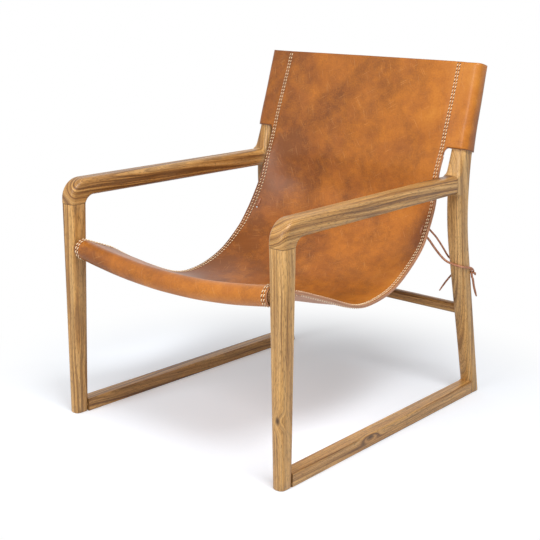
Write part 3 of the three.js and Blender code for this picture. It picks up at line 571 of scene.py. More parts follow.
def wooden_piece(name, rings, material, joints=()):
    points, faces = loft(rings)
    near = np.full(len(points), FAR_FROM_JOINT)
    for joint in joints:
        near = np.minimum(near, joint(points))
    wear = np.column_stack([near, np.full(len(points), BOARDS[name].tone), points[:, 2]])
    piece = make_piece(
        name + "_wood", points, faces, [material], attributes={"board": board_places(name, points), "wear": wear}
    )
    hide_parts(name)
    return piece


# Materials


def add_node(tree, kind, sockets=None, stops=None, **settings):
    """Adds one node: its settings, its sockets (a value, or another node's output to link) and a ramp's stops."""
    made = tree.nodes.new("ShaderNode" + kind)
    for key, value in settings.items():
        setattr(made, key, value)
    for key, value in (sockets or {}).items():
        if isinstance(value, bpy.types.Node):
            value = next(out for out in value.outputs if out.enabled)
        if isinstance(value, bpy.types.NodeSocket):
            tree.links.new(value, made.inputs[key])
        else:
            made.inputs[key].default_value = value
    if stops:
        ramp = made.color_ramp
        while len(ramp.elements) < len(stops):
            ramp.elements.new(1.0)
        for element, (position, tone) in zip(ramp.elements, stops):
            element.position = position
            element.color = tone if hasattr(tone, "__len__") else (tone, tone, tone, 1)
    return made


def new_material(name):
    if name in bpy.data.materials:
        raise RuntimeError(f"there is a material {name} already")
    material = bpy.data.materials.new(name)
    material.use_nodes = True
    material.node_tree.nodes.clear()
    return material, partial(add_node, material.node_tree)


def oiled_teak(colours):
    """Teak, sanded and oiled: pale gold, with straight dark growth lines and open pores, and a satin shine."""
    _, node = new_material("oiled_teak")
    light, body, dark = tuple(colours.teak_light), tuple(colours.teak_mid), tuple(colours.teak_dark)
    place = node("Attribute", attribute_name="board").outputs["Vector"]
    # The trunk's slow bends, 260 mm long and 45 mm across, let the lines wander by a few millimetres
    slow = node("VectorMath", {0: place, 1: (1 / 260, 1 / 45, 1 / 45)}, operation="MULTIPLY")
    drift = node("TexNoise", {"Vector": slow, "Scale": 1.0, "Detail": 2.0, "Roughness": 0.5}).outputs["Color"]
    drift = node("VectorMath", {0: drift, 1: (0.5, 0.5, 0.5)}, operation="SUBTRACT")
    bent = node("VectorMath", {0: drift, 1: (0, 13, 13), 2: place}, operation="MULTIPLY_ADD")
    across = node("VectorMath", {0: bent, 1: (0, 1, 1)}, operation="MULTIPLY")
    radius = node("VectorMath", {0: across}, operation="LENGTH").outputs["Value"]
    # Knots: the growth lines part round them
    spot = node("TexCoord").outputs["Object"]
    core = None
    for middle, reach in KNOTS:
        centre = tuple((np.array(middle) - (0, FRONT_TO_MIDDLE, 0)) * MM)
        offset = node("VectorMath", {0: spot, 1: centre}, operation="SUBTRACT")
        offset = node("VectorMath", {0: offset, 1: tuple(1 / (r * MM) for r in reach)}, operation="MULTIPLY")
        distance = node("VectorMath", {0: offset}, operation="LENGTH").outputs["Value"]
        sockets = {"Value": distance, "To Min": 10.0, "To Max": 0.0}
        swell = node("MapRange", sockets, interpolation_type="SMOOTHERSTEP")
        radius = node("Math", {0: radius, 1: swell}, operation="ADD")
        heart = node("MapRange", {"Value": distance, "From Min": 0.1, "From Max": 0.3, "To Min": 1.0, "To Max": 0.0})
        core = heart if core is None else node("Math", {0: core, 1: heart}, operation="MAXIMUM")
    along = node("SeparateXYZ", {0: place}).outputs["X"]

    # Bands of growth, about 8 mm, 3 mm and 1.2 mm wide, that run on for a hand or more
    ringwise = []
    for length, width, detail, roughness in ((520, 8, 4.0, 0.62), (300, 3, 3.0, 0.6), (170, 1.2, 2.0, 0.6)):
        down = node("Math", {0: along, 1: length}, operation="DIVIDE")
        out = node("Math", {0: radius, 1: width}, operation="DIVIDE")
        run = node("CombineXYZ", {"X": down, "Y": out, "Z": 0.37 * width})
        sockets = {"Vector": run, "Scale": 1.0, "Detail": detail, "Roughness": roughness}
        ringwise.append(node("TexNoise", sockets).outputs["Fac"])
    bands, streaks, threads = ringwise
    near = node("Attribute", attribute_name="wear").outputs["Vector"]
    wear = node("SeparateXYZ", {0: near}).outputs
    tone = node(
        "ValToRGB",
        {"Fac": node("Math", {0: bands, 1: wear["Y"]}, operation="ADD")},
        stops=[(0.35, linear("#72491F")), (0.44, body), (0.52, linear("#CF9C58")), (0.61, light)],
    )
    streak = node("ValToRGB", {"Fac": streaks}, stops=[(0.49, 0.0), (0.6, 0.6), (0.7, 1.0)])
    thread = node("ValToRGB", {"Fac": threads}, stops=[(0.48, 0.0), (0.66, 1.0)])
    # Open pores: dashes about 12 mm long, drawn 0.9 mm wide, twice their real width, so that they show
    fine = node("VectorMath", {0: bent, 1: (1 / 12, 1 / 0.9, 1 / 0.9)}, operation="MULTIPLY")
    pore = node("TexNoise", {"Vector": fine, "Scale": 1.0, "Detail": 1.0, "Roughness": 0.5}).outputs["Fac"]
    pores = node("ValToRGB", {"Fac": pore}, stops=[(0.57, 0.0), (0.68, 1.0)])
    # Oil sinks in unevenly: greyer and warmer patches a hand long
    patchy = node("VectorMath", {0: place, 1: (1 / 90, 1 / 26, 1 / 26)}, operation="MULTIPLY")
    patch = node("TexNoise", {"Vector": patchy, "Scale": 1.0, "Detail": 3.0}).outputs["Fac"]
    grey = node("MapRange", {"Value": patch, "From Min": 0.42, "From Max": 0.7, "To Max": 0.5})
    seam = node("MapRange", {"Value": wear["X"], "From Min": 0.3, "From Max": 1.3, "To Min": 0.5, "To Max": 0.0})
    for mask, share, shade in (
        (grey, 0.75, linear("#9C7850")),
        (thread, 0.34, dark),
        (streak, 0.72, dark),
        (pores, 0.66, linear("#4E3219")),
        (core, 0.85, linear("#3B2412")),
        (seam, 1.0, linear("#4A3018")),
    ):
        mask = node("Math", {0: mask, 1: share}, operation="MULTIPLY")
        tone = node("Mix", {"Factor": mask, "A": tone, "B": shade}, data_type="RGBA").outputs["Result"]
    low = node("Math", {0: thread, 1: pores}, operation="ADD")
    bump = node("Bump", {"Height": low, "Strength": 0.35, "Distance": 0.15 * MM}, invert=True)
    gloss = node("MapRange", {"Value": streaks, "From Min": 0.3, "From Max": 0.7, "To Min": 0.28, "To Max": 0.46})
    sockets = {"Base Color": tone, "Roughness": gloss, "Normal": bump, "IOR": 1.5, "Specular IOR Level": 0.4}
    node("OutputMaterial", {"Surface": node("BsdfPrincipled", sockets)})


def turned_dowel(colours):
    """Hardwood dowel, turned and left raw: pale and dry, with a fine straight fibre."""
    _, node = new_material("turned_dowel")
    place = node("TexCoord").outputs["Object"]
    fine = node("VectorMath", {0: place, 1: (700, 60, 700)}, operation="MULTIPLY")
    fibre = node("TexNoise", {"Vector": fine, "Scale": 1.0, "Detail": 2.0}).outputs["Fac"]
    sockets = {"Factor": fibre, "A": tuple(colours.dowel), "B": tuple(colours.teak_light)}
    tone = node("Mix", sockets, data_type="RGBA").outputs["Result"]
    bump = node("Bump", {"Height": fibre, "Strength": 0.3, "Distance": 0.1 * MM})
    sockets = {"Base Color": tone, "Roughness": 0.7, "Normal": bump}
    node("OutputMaterial", {"Surface": node("BsdfPrincipled", sockets)})


def waxed_saddle_leather(colours):
    """Vegetable-tanned saddle leather, dyed by hand and waxed: cloudy tan, a fine grain and a soft polished shine."""
    _, node = new_material("waxed_saddle_leather")
    light, body, dark = tuple(colours.leather_light), tuple(colours.leather_mid), tuple(colours.leather_dark)
    place = node("Attribute", attribute_name="hide").outputs["Vector"]
    marks = node("Attribute", attribute_name="stitch").outputs["Vector"]
    marks = node("SeparateXYZ", {0: marks}).outputs
    # Clouds of dye 170 mm, 60 mm and 18 mm across, and a mottle of 4 mm
    mixed = 0.0
    for size, share, detail, warp in (
        (170, 0.22, 1.0, 0.6),
        (60, 0.2, 2.0, 0.4),
        (18, 0.12, 2.0, 0.3),
        (4, 0.14, 2.0, 0.0),
    ):
        sockets = {"Vector": place, "Scale": 1 / size, "Detail": detail, "Roughness": 0.55, "Distortion": warp}
        cloud = node("TexNoise", sockets).outputs["Fac"]
        cloud = node("Math", {0: cloud, 1: 0.5}, operation="SUBTRACT")
        mixed = node("Math", {0: cloud, 1: share, 2: mixed}, operation="MULTIPLY_ADD")
    # The leather is paler towards the sitter's left and darker towards the right
    over = node("SeparateXYZ", {0: place}).outputs["X"]
    pale = node("MapRange", {"Value": over, "From Min": -300, "From Max": 300, "To Min": 0.325, "To Max": 0.505})
    mixed = node("Math", {0: mixed, 1: pale}, operation="ADD")
    # The seat is darker below the small of the back, and lighter in front, a painted highlight of the glare on it
    # there;
    # the sitter's left side below the arm is darker, a painted shade
    down = node("SeparateXYZ", {0: place}).outputs["Y"]
    sockets = {"Value": down, "From Min": 380, "From Max": 620, "To Max": 0.03}
    used = node("MapRange", sockets, interpolation_type="SMOOTHSTEP")
    mixed = node("Math", {0: mixed, 1: used}, operation="SUBTRACT")
    # Painted highlight: the front of the seat is made lighter for the glare on it
    painted_glare = node("MapRange", {"Value": down, "From Min": 700, "From Max": 880, "To Max": 0.045})
    mixed = node("Math", {0: mixed, 1: painted_glare}, operation="ADD")
    # Painted shade: the hide is darkened on the sitter's left below the arm, where it turns away from the light
    offset = node("VectorMath", {0: place, 1: (265, 420, 0)}, operation="SUBTRACT")
    offset = node("VectorMath", {0: offset, 1: (1 / 95, 1 / 150, 0)}, operation="MULTIPLY")
    reach = node("VectorMath", {0: offset}, operation="LENGTH").outputs["Value"]
    painted_hip_shade = node("MapRange", {"Value": reach, "To Min": 0.22, "To Max": 0.0}, interpolation_type="SMOOTHSTEP")
    mixed = node("Math", {0: mixed, 1: painted_hip_shade}, operation="SUBTRACT")
    # Painted shade: the sleeves' outer sides are darker, as less light falls on them than on their fronts
    aside = node("Math", {0: over}, operation="ABSOLUTE")
    painted_side_shade = node("MapRange", {"Value": aside, "From Min": 314, "From Max": 340, "To Max": 0.15})
    mixed = node("Math", {0: mixed, 1: painted_side_shade}, operation="SUBTRACT")
    tone = node("ValToRGB", {"Fac": mixed}, stops=[(0.33, dark), (0.48, body), (0.64, light)])
    # Some clouds took a redder dye
    sockets = {"Vector": place, "Scale": 1 / 70, "Detail": 3.0, "Roughness": 0.6, "Distortion": 0.8}
    red = node("TexNoise", sockets).outputs["Fac"]
    red = node("MapRange", {"Value": red, "From Min": 0.42, "From Max": 0.72, "To Max": 0.45})
    tone = node("Mix", {"Factor": red, "A": tone, "B": linear("#A05A22")}, data_type="RGBA").outputs["Result"]
    # Hairline scratches, pale and short
    scratches = None
    for turn, shift in ((0.5, 0), (-0.9, 300), (1.9, 700)):
        turned = node("Mapping", {"Vector": place, "Location": (shift, shift, 0), "Rotation": (0, 0, turn)})
        long = node("VectorMath", {0: turned, 1: (1 / 45, 1 / 1.1, 0)}, operation="MULTIPLY")
        line = node("TexNoise", {"Vector": long, "Scale": 1.0, "Detail": 0.0}).outputs["Fac"]
        line = node("MapRange", {"Value": line, "From Min": 0.76, "From Max": 0.86, "To Max": 0.5})
        scratches = line if scratches is None else node("Math", {0: scratches, 1: line}, operation="MAXIMUM")
    # The cut edges are dyed dark, with painted shade of the gaps beside them; painted shade darkens the seams' stitch
    # furrows, and the needle holes most
    edge_dye_and_shade = node("MapRange", {"Value": marks["Z"], "From Max": 2.6, "To Min": 0.95, "To Max": 0.0})
    rows = None
    for distance in STITCH_ROWS:
        row = node("Math", {0: marks["X"], 1: distance, 2: 1.6}, operation="COMPARE")
        rows = row if rows is None else node("Math", {0: rows, 1: row}, operation="MAXIMUM")
    share = node("Math", {0: marks["Y"]}, operation="FRACT")
    hole = node("Math", {0: share, 1: 0.5, 2: 0.14}, operation="COMPARE")
    # Painted shade in the needle holes, between the stitches
    painted_hole_shade = node("Math", {0: hole, 1: rows}, operation="MULTIPLY")
    # Painted shade in the furrows that the stitches sink into
    painted_seam_shade = node("Math", {0: rows, 1: 0.35}, operation="MULTIPLY")
    for mask, shade in (
        (scratches, linear("#E0A564")),
        (painted_seam_shade, dark),
        (painted_hole_shade, linear("#4E2A12")),
        (edge_dye_and_shade, linear("#2A1409")),
    ):
        tone = node("Mix", {"Factor": mask, "A": tone, "B": shade}, data_type="RGBA").outputs["Result"]
    # The grain's pebbles, drawn 1.8 mm across, a little coarser than they are, over ripples of 7 mm
    pebbles = node("TexVoronoi", {"Vector": place, "Scale": 1 / 1.8}, feature="SMOOTH_F1").outputs["Distance"]
    ripple = node("TexNoise", {"Vector": place, "Scale": 1 / 7, "Detail": 4.0, "Roughness": 0.6}).outputs["Fac"]
    height = node("Math", {0: pebbles, 1: 0.45, 2: ripple}, operation="MULTIPLY_ADD")
    height = node("Math", {0: rows, 1: -0.8, 2: height}, operation="MULTIPLY_ADD")
    fine = node("Bump", {"Height": height, "Strength": 0.3, "Distance": 0.3 * MM})
    # Soft creases 50 mm apart, where the hide has given
    sockets = {"Vector": place, "Scale": 1 / 50, "Detail": 2.0, "Roughness": 0.5, "Distortion": 1.2}
    crease = node("TexNoise", sockets).outputs["Fac"]
    bump = node("Bump", {"Height": crease, "Strength": 0.4, "Distance": 2 * MM, "Normal": fine})
    gloss = node("MapRange", {"Value": red, "From Max": 0.45, "To Min": 0.4, "To Max": 0.47})
    sockets = {
        "Base Color": tone,
        "Roughness": gloss,
        "Normal": bump,
        "IOR": 1.48,
        "Specular IOR Level": 0.3,
        "Coat Weight": 0.24,
        "Coat IOR": 1.36,
        "Coat Roughness": 0.28,
    }
    node("OutputMaterial", {"Surface": node("BsdfPrincipled", sockets)})


def suede_flesh(colours, name, shade, roughness):
    """Flesh side or cut edge of the hide: matt, with short loose fibres."""
    _, node = new_material(name)
    place = node("TexCoord").outputs["Object"]
    # Nap of 2.2 mm tufts, drawn coarse enough to show, and patches of 70 mm where it lies another way
    nap = node("TexNoise", {"Vector": place, "Scale": 1000 / 2.2, "Detail": 5.0, "Roughness": 0.7}).outputs["Fac"]
    patch = node("TexNoise", {"Vector": place, "Scale": 1000 / 70, "Detail": 3.0}).outputs["Fac"]
    mixed = node("Math", {0: nap, 1: patch}, operation="ADD")
    darker = node("MapRange", {"Value": mixed, "From Min": 0.7, "From Max": 1.3, "To Min": 0.42, "To Max": 0.0})
    sockets = {"Factor": darker, "A": shade, "B": tuple(colours.leather_dark)}
    tone = node("Mix", sockets, data_type="RGBA").outputs["Result"]
    bump = node("Bump", {"Height": nap, "Strength": 0.5, "Distance": 0.2 * MM})
    sockets = {"Base Color": tone, "Roughness": roughness, "Normal": bump, "Sheen Weight": 0.3, "Sheen Roughness": 0.5}
    node("OutputMaterial", {"Surface": node("BsdfPrincipled", sockets)})


def waxed_thread(colours):
    """Waxed linen thread: twisted plies that read as fine slanting ridges, with a dull shine."""
    _, node = new_material("waxed_thread")
    place = node("TexCoord").outputs["Object"]
    # Plies 1.2 mm apart
    sockets = {"Vector": place, "Scale": 1000 / 1.2 / 6.28, "Distortion": 1.0}
    plies = node("TexWave", sockets, wave_type="BANDS", bands_direction="DIAGONAL").outputs["Fac"]
    sockets = {"Factor": plies, "A": linear("#EBCDA2"), "B": tuple(colours.thread)}
    tone = node("Mix", sockets, data_type="RGBA").outputs["Result"]
    bump = node("Bump", {"Height": plies, "Strength": 0.5, "Distance": 0.1 * MM})
    sockets = {"Base Color": tone, "Roughness": 0.55, "Normal": bump}
    node("OutputMaterial", {"Surface": node("BsdfPrincipled", sockets)})


def cut_thong(colours):
    """Lace cut from hide: darker than the sling, with a smooth worn face and a fibrous edge."""
    _, node = new_material("cut_thong")
    place = node("TexCoord").outputs["Object"]
    # Loose fibres and stains, 4 mm
    fibre = node("TexNoise", {"Vector": place, "Scale": 1000 / 4, "Detail": 5.0, "Roughness": 0.7}).outputs["Fac"]
    stops = [(0.33, linear("#7A4A30")), (0.52, tuple(colours.lace)), (0.72, linear("#CFA080"))]
    tone = node("ValToRGB", {"Fac": fibre}, stops=stops)
    bump = node("Bump", {"Height": fibre, "Strength": 0.5, "Distance": 0.3 * MM})
    sockets = {"Base Color": tone, "Roughness": 0.6, "Normal": bump}
    node("OutputMaterial", {"Surface": node("BsdfPrincipled", sockets)})


# Wooden pieces


def from_leg_top(points):
    """Distance from the joint between a front leg and its arm."""
    return np.abs(points[:, 2] - FRONT_LEG_HEIGHT)


def from_block(points):
    """Distance from the joint between an arm and its back leg."""
    away = np.abs(points[:, 1] - BLOCK_FACE)
    level = (points[:, 2] > BLOCK_BOTTOM - 1) & (points[:, 2] < BLOCK_TOP + 3)
    sanded = np.where(points[:, 2] > ARM_TOP - 4, 0.8, 0)
    return np.where(level, away + sanded, FAR_FROM_JOINT)


def from_sled_ends(points):
    """Distance from the joints between a sled rail and its two legs."""
    y = points[:, 1]
    front, back = front_leg_at(0)[3], back_leg_at(0)[2]
    from_front = np.where(y < front + 1, 0.4, FAR_FROM_JOINT)
    from_back = np.where(y > back - 12, np.abs(y - back) / 4, FAR_FROM_JOINT)
    return np.minimum(from_front, from_back)


class CHAIR_OT_legs(Operator):
    """Builds the two tapered front legs and the two bent back legs"""

    bl_idname = "lounge_chair.legs"
    bl_label = "Legs"

    def execute(self, context):
        arris = context.scene.chair_sizes.arris / MM
        teak = bpy.data.materials["oiled_teak"]
        for side, hand in SIDES:
            wooden_piece(f"front_leg_{hand}", front_leg_rings(side, arris), teak, [from_leg_top])
            wooden_piece(f"back_leg_{hand}", back_leg_rings(side), teak, [from_block])
        return {"FINISHED"}


def arm_rings(side, arris):
    """Rings from the joint on the front leg, round the bend and back to the block of the back leg."""

    def ring(p, q, inset=0.0):
        outer = OVERALL_WIDTH / 2 - arm_inset(p[0])
        return rung(p, q, side * (outer - ARM_WIDTH), side * outer, ARM_CORNER, inset)

    joint, depth = FRONT_LEG_HEIGHT + GLUE_GAP, FRONT_LEG_TOP[1]
    inner_z = ARM_UNDERSIDE - ARM_INNER_BEND
    below = max(0.0, joint - inner_z)
    inner_y = depth + math.sqrt(ARM_INNER_BEND**2 - below**2)
    first = math.asin(below / ARM_INNER_BEND)
    rings = [ring((0, joint + up * arris), (depth, joint + up * arris), inset * arris) for up, inset in EASING]
    for t in shares(24):
        outer, inner = t * math.pi / 2, lerp(first, math.pi / 2, t)
        y, hollow_y = ARM_OUTER_BEND * (1 - math.cos(outer)), inner_y - ARM_INNER_BEND * math.cos(inner)
        z, hollow_z = ARM_TOP - ARM_OUTER_BEND * (1 - math.sin(outer)), inner_z + ARM_INNER_BEND * math.sin(inner)
        if t == 0:
            # Just above the eased edge, so that the rings stay in order
            z = hollow_z = joint + arris + 0.4
        rings.append(ring((y, z), (hollow_y, hollow_z)))
    for t in shares(24)[1:]:
        y = lerp(inner_y + ARM_INNER_BEND, fillet_at(0)[0], t)
        rings.append(ring((y, ARM_TOP), (y, ARM_UNDERSIDE)))
    butt = BLOCK_FACE - GLUE_GAP
    last = fillet_share_at(butt - arris)
    for t in shares(10)[1:]:
        y, z = fillet_at(last * t)
        rings.append(ring((y, z), (y, ARM_UNDERSIDE)))
    for away, inset in EASING[1::-1]:
        y = butt - away * arris
        z = fillet_at(fillet_share_at(y))[1]
        rings.append(ring((y, z), (y, ARM_UNDERSIDE), inset * arris))
    return rings


class CHAIR_OT_arms(Operator):
    """Builds the two arms, each one sculpted piece that turns down to its front leg"""

    bl_idname = "lounge_chair.arms"
    bl_label = "Arms"

    def execute(self, context):
        arris = context.scene.chair_sizes.arris / MM
        teak = bpy.data.materials["oiled_teak"]
        for side, hand in SIDES:
            wooden_piece(f"arm_{hand}", arm_rings(side, arris), teak, [from_leg_top, from_block])
        return {"FINISHED"}


def coped_rings(rings, side, leg_at, facing):
    """Stretches the last rings of a rail so that they end on a leg's rounded face."""
    steps = len(rings) - 1
    grids = np.array(rings)
    made = np.empty_like(grids)
    for column in range(grids.shape[1]):
        line = grids[:, column]

        def place(share):
            k = min(int(share * steps), steps - 1)
            return lerp(line[k], line[k + 1], share * steps - k)

        low, high = 0.0, 1.0
        for _ in range(HALVINGS):
            t = (low + high) / 2
            x, y, z = place(t)
            short = (leg_face(leg_at, side, facing, x, z) - y) * -facing > GLUE_GAP
            low, high = (t, high) if short else (low, t)
        for k in range(steps + 1):
            made[k, column] = place(high * k / steps)
    return list(made)


def sled_rings(side):
    """Rings from the front leg to the back leg, where the rail's top runs up into the leg in a fillet."""

    def ring(y, z=SLED_HEIGHT):
        outer = OVERALL_WIDTH / 2 - sled_inset(y)
        return rung((y, 0), (y, z), side * (outer - SLED_WIDTH), side * outer, SLED_CORNER)

    start = front_leg_at(0)[3] - COPE_DEPTH
    end = back_leg_at(0)[2] + COPE_DEPTH
    straight_start = start + 40
    fillet_start = back_leg_at(SLED_HEIGHT)[2] - SLED_FILLET
    front_end = [ring(lerp(straight_start, start, t)) for t in shares(2)]
    middle = [ring(lerp(straight_start, fillet_start, t)) for t in shares(20)[1:-1]]
    rear_end = []
    for t in shares(12):
        rear_end.append(ring(lerp(fillet_start, end, t), SLED_HEIGHT + SLED_FILLET * (1 - math.sqrt(1 - t * t))))
    front_end = coped_rings(front_end, side, front_leg_at, 1)
    return front_end[::-1] + middle + coped_rings(rear_end, side, back_leg_at, -1)


class CHAIR_OT_sled_rails(Operator):
    """Builds the two rails that lie on the floor"""

    bl_idname = "lounge_chair.sled_rails"
    bl_label = "Sled rails"

    def execute(self, context):
        teak = bpy.data.materials["oiled_teak"]
        for side, hand in SIDES:
            wooden_piece(f"sled_rail_{hand}", sled_rings(side), teak, [from_sled_ends])
        return {"FINISHED"}


RAIL_Y = FRONT_LEG_TOP[1] / 2
RAIL_HALF = front_leg_at(RAIL_HEIGHT + RAIL_DIAMETER / 2)[1] - GLUE_GAP


def rail_sag(x):
    return RAIL_SAG * (1 - clamp01(abs(x) / RAIL_HALF) ** 2)


def inner_face(leg_at, y, z):
    """How far out a leg's inner face stands at a place, round its corners too."""
    _, inner, front, rear = leg_at(z)
    return inner + corner_drop(abs(y - (front + rear) / 2) - ((rear - front) / 2 - LEG_CORNER))


def cross_rail(section, height_at, middle_y, leg_at):
    """Rings of a rail between the legs, from inner face to inner face."""
    end_height = height_at(math.inf)
    reaches = [inner_face(leg_at, middle_y + a, end_height + b) - GLUE_GAP for a, b in section]
    rings = []
    for t in shares(60):
        xs = [(t * 2 - 1) * reach for reach in reaches]
        rings.append([(x, middle_y + a, height_at(x) + b) for x, (a, b) in zip(xs, section)])
    return rings


class CHAIR_OT_cross_rails(Operator):
    """Builds the round front rail, which sags, and the rear stretcher"""

    bl_idname = "lounge_chair.cross_rails"
    bl_label = "Cross rails"

    def execute(self, context):
        teak = bpy.data.materials["oiled_teak"]
        radius = RAIL_DIAMETER / 2
        circle = [(radius * math.cos(i * math.pi / 16), radius * math.sin(i * math.pi / 16)) for i in range(32)]
        rings = cross_rail(circle, lambda x: RAIL_HEIGHT - rail_sag(x), RAIL_Y, front_leg_at)
        wooden_piece("front_rail", rings, teak)
        _, _, front, rear = back_leg_at(STRETCHER_CENTRE)
        section = rounded_section(STRETCHER[0] / 2, STRETCHER[1] / 2, STRETCHER_CORNER)
        rings = cross_rail(section, lambda x: STRETCHER_CENTRE, (front + rear) / 2, back_leg_at)
        wooden_piece("rear_stretcher", rings, teak)
        return {"FINISHED"}


class CHAIR_OT_dowels(Operator):
    """Gives the hidden dowels of the joints their bare wood"""

    bl_idname = "lounge_chair.dowels"
    bl_label = "Dowels"

    def execute(self, context):
        wood = bpy.data.materials["turned_dowel"]
        for name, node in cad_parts.items():
            if "dowel" in name:
                node.data.materials.clear()
                node.data.materials.append(wood)
        return {"FINISHED"}


# Leather


# A row of the hide: its middle's place without the sag, the way and the depth it sags and how square that is, the
# half widths of the sag, of the leather and of its seams, the real hide's shift, and the share of the sleeves' lift
Row = namedtuple("Row", "y z way sag fullness sag_x half seam_half twist lift")
# The hide's grid of middle points and what is known of it: each point's distances from the line that the stitches
# are counted from and from the nearest cut edge, the two columns of that line, and the rows where the sleeves, the
# slots beside them and the free edge end
Hide = namedtuple("Hide", "grid from_seam from_rim first last foot slot free_end normals", defaults=(None,))

MID_OFFSET = HIDE_CLEARANCE + HIDE_THICKNESS / 2
LAP_OFFSET = HIDE_THICKNESS + LAP_GAP + BAND_GAP
FOOT_INNER, FOOT_FRONT = back_leg_at(SLEEVE_FOOT)[1:3]
SEAM_X = FOOT_INNER - SLEEVE_SEAM
EDGE_X = FOOT_INNER - SLOT_WIDTH
FRONT_EDGE_X = RAIL_HALF - FRONT_SHOULDER
EDGE_RUN = FOOT_FRONT - MID_OFFSET - RAIL_Y
EDGE_RISE = SLEEVE_FOOT - RAIL_HEIGHT


def free_row(t):
    """Row of the hide's free edge at share t of the way from the sleeves to the front sleeve."""
    run, rise, sag, fullness, twist = curve_at(EDGE, t)
    ahead, behind = curve_at(EDGE, min(t + 1e-4, 1)), curve_at(EDGE, max(t - 1e-4, 0))
    y, z = RAIL_Y + run * EDGE_RUN, RAIL_HEIGHT + rise * EDGE_RISE
    tangent = unit(((ahead - behind)[0] * EDGE_RUN, (ahead - behind)[1] * EDGE_RISE))
    back = np.array((-tangent[1], tangent[0]))
    way = unit(lerp(back, np.array((0, -1.0)), smooth((t - 0.75) * 4)))
    near = smooth((t - 0.5) * 2)
    into = clamp01((SLEEVE_FOOT - z) / SLOT_CORNER)
    ease = 1 - math.sqrt(1 - (1 - into) ** 2)
    seam_half = lerp(EDGE_X, FRONT_EDGE_X, near)
    half = lerp(EDGE_X + SLOT_WIDTH * ease, FRONT_EDGE_X, near)
    sag_x = lerp(lerp(SEAM_X, EDGE_X, smooth(t * 4)), RAIL_HALF, near)
    return Row(y, z, way, sag * HIP_SAG, fullness, sag_x, half, seam_half, back * twist, 0.0)


def rail_row(y, z):
    return Row(y, z, np.array((0, -1.0)), RAIL_SAG, 2, RAIL_HALF, FRONT_EDGE_X, FRONT_EDGE_X, np.zeros(2), 0.0)


def sleeve_row(t):
    z = lerp(SLEEVE_TOP, SLEEVE_FOOT, t)
    inner, front = back_leg_at(z)[1:3]
    sag = lerp(TOP_SAG, EDGE[0][2] * HIP_SAG, t)
    way = np.array((1.0, 0))
    return Row(front - MID_OFFSET, z, way, sag, 2, SEAM_X, inner, inner - SLOT_WIDTH, np.zeros(2), 1 - t)


def front_sleeve_rows(last):
    """Rows over the rail, down its front, under it and back along the underside of the seat."""
    radius = RAIL_DIAMETER / 2 + MID_OFFSET + RAIL_SLACK

    def touch(y, z, upper):
        """Angle round the rail at which a line from a place runs onto it, from above or from below."""
        dy, dz = y - RAIL_Y, z - RAIL_HEIGHT
        half = math.acos(radius / math.hypot(dy, dz))
        return math.atan2(dz, dy) + (half if upper else -half)

    def on_rail(angle):
        return RAIL_Y + radius * math.cos(angle), RAIL_HEIGHT + radius * math.sin(angle)

    def straight(start, end):
        return [(lerp(start[0], end[0], t), lerp(start[1], end[1], t)) for t in shares(6)[1:]]

    over = touch(last.y, last.z, True)
    landing = on_rail(over)
    slope = (landing[1] - last.z) / (landing[0] - last.y)
    normal = unit((-slope, 1))

    def flap(y):
        return y - normal[0] * LAP_OFFSET, last.z + slope * (y - last.y) - normal[1] * LAP_OFFSET

    start, end = flap(RAIL_Y + FLAP_REACH), flap(RAIL_Y + FLAP_REACH + FLAP_LAP)
    under = touch(*start, False) + 2 * math.pi
    places = straight((last.y, last.z), landing)
    places += [on_rail(lerp(over, under, t)) for t in shares(64)[1:]]
    places += straight(places[-1], start) + straight(start, end)
    return [rail_row(y, z) for y, z in places]


def hide_point(row, x):
    share = clamp01(abs(x) / row.sag_x)
    sag = row.sag * (1 - share**row.fullness)
    lean = max(-1.0, min(1.0, x / row.sag_x))
    y = row.y + row.way[0] * sag + row.twist[0] * lean
    z = row.z + row.way[1] * sag + row.twist[1] * lean
    z += row.lift * lerp(*SLEEVE_LIFT, (lean + 1) / 2)
    return (x, y, z)


def leaning_seam(row, x):
    """The real seams lean a little against the posts, both the same way."""
    away = abs(x)
    share = (row.half - away) / (row.half - row.seam_half) if away > row.seam_half else away / row.seam_half
    return x + SEAM_LEAN[int(x > 0)] * row.lift * smooth(share)


def wing_at(z, lift):
    """A sleeve round its post: from the front over the outer side and back to the lap behind the seam."""
    outer, inner, front, rear = back_leg_at(z)
    r = LEG_CORNER
    fold = r + MID_OFFSET
    lap_y = front - MID_OFFSET + LAP_OFFSET

    def corner(x, y, start):
        turns = [start + t * math.pi / 2 for t in shares(7)]
        return [(x + fold * math.cos(a), y + fold * math.sin(a)) for a in turns]

    line = [(lerp(inner, outer - r, t), front - MID_OFFSET) for t in shares(4)[1:-1]]
    line += corner(outer - r, front + r, -math.pi / 2)
    # The leather stands off the post a little in the middle of the outer side and of the rear
    line.append((outer + MID_OFFSET + 0.5, (front + rear) / 2))
    line += corner(outer - r, rear - r, 0)
    line.append(((outer + inner) / 2, rear + MID_OFFSET + 0.3))
    line += corner(inner + r, rear - r, math.pi / 2)
    # It leaves the post's inner side and comes down on the back of the hide just before the stitches
    bridge = ((3.2, front + 14), (6.5, lap_y + 4), (10.5, lap_y + 0.7), (LAP_START, lap_y))
    bridge = (line[-1], *((inner - x, y) for x, y in bridge))
    line += [tuple(curve_at(bridge, t)) for t in shares(12)[1:]]
    line += [(inner - lerp(LAP_START, SLEEVE_LAP, t), lap_y) for t in shares(4)[1:]]
    placed = []
    for x, y in line:
        moved, low = square_cut(z, max(0, y - front))
        placed.append((x, y + moved, low + lift * (x / outer)))
    return placed


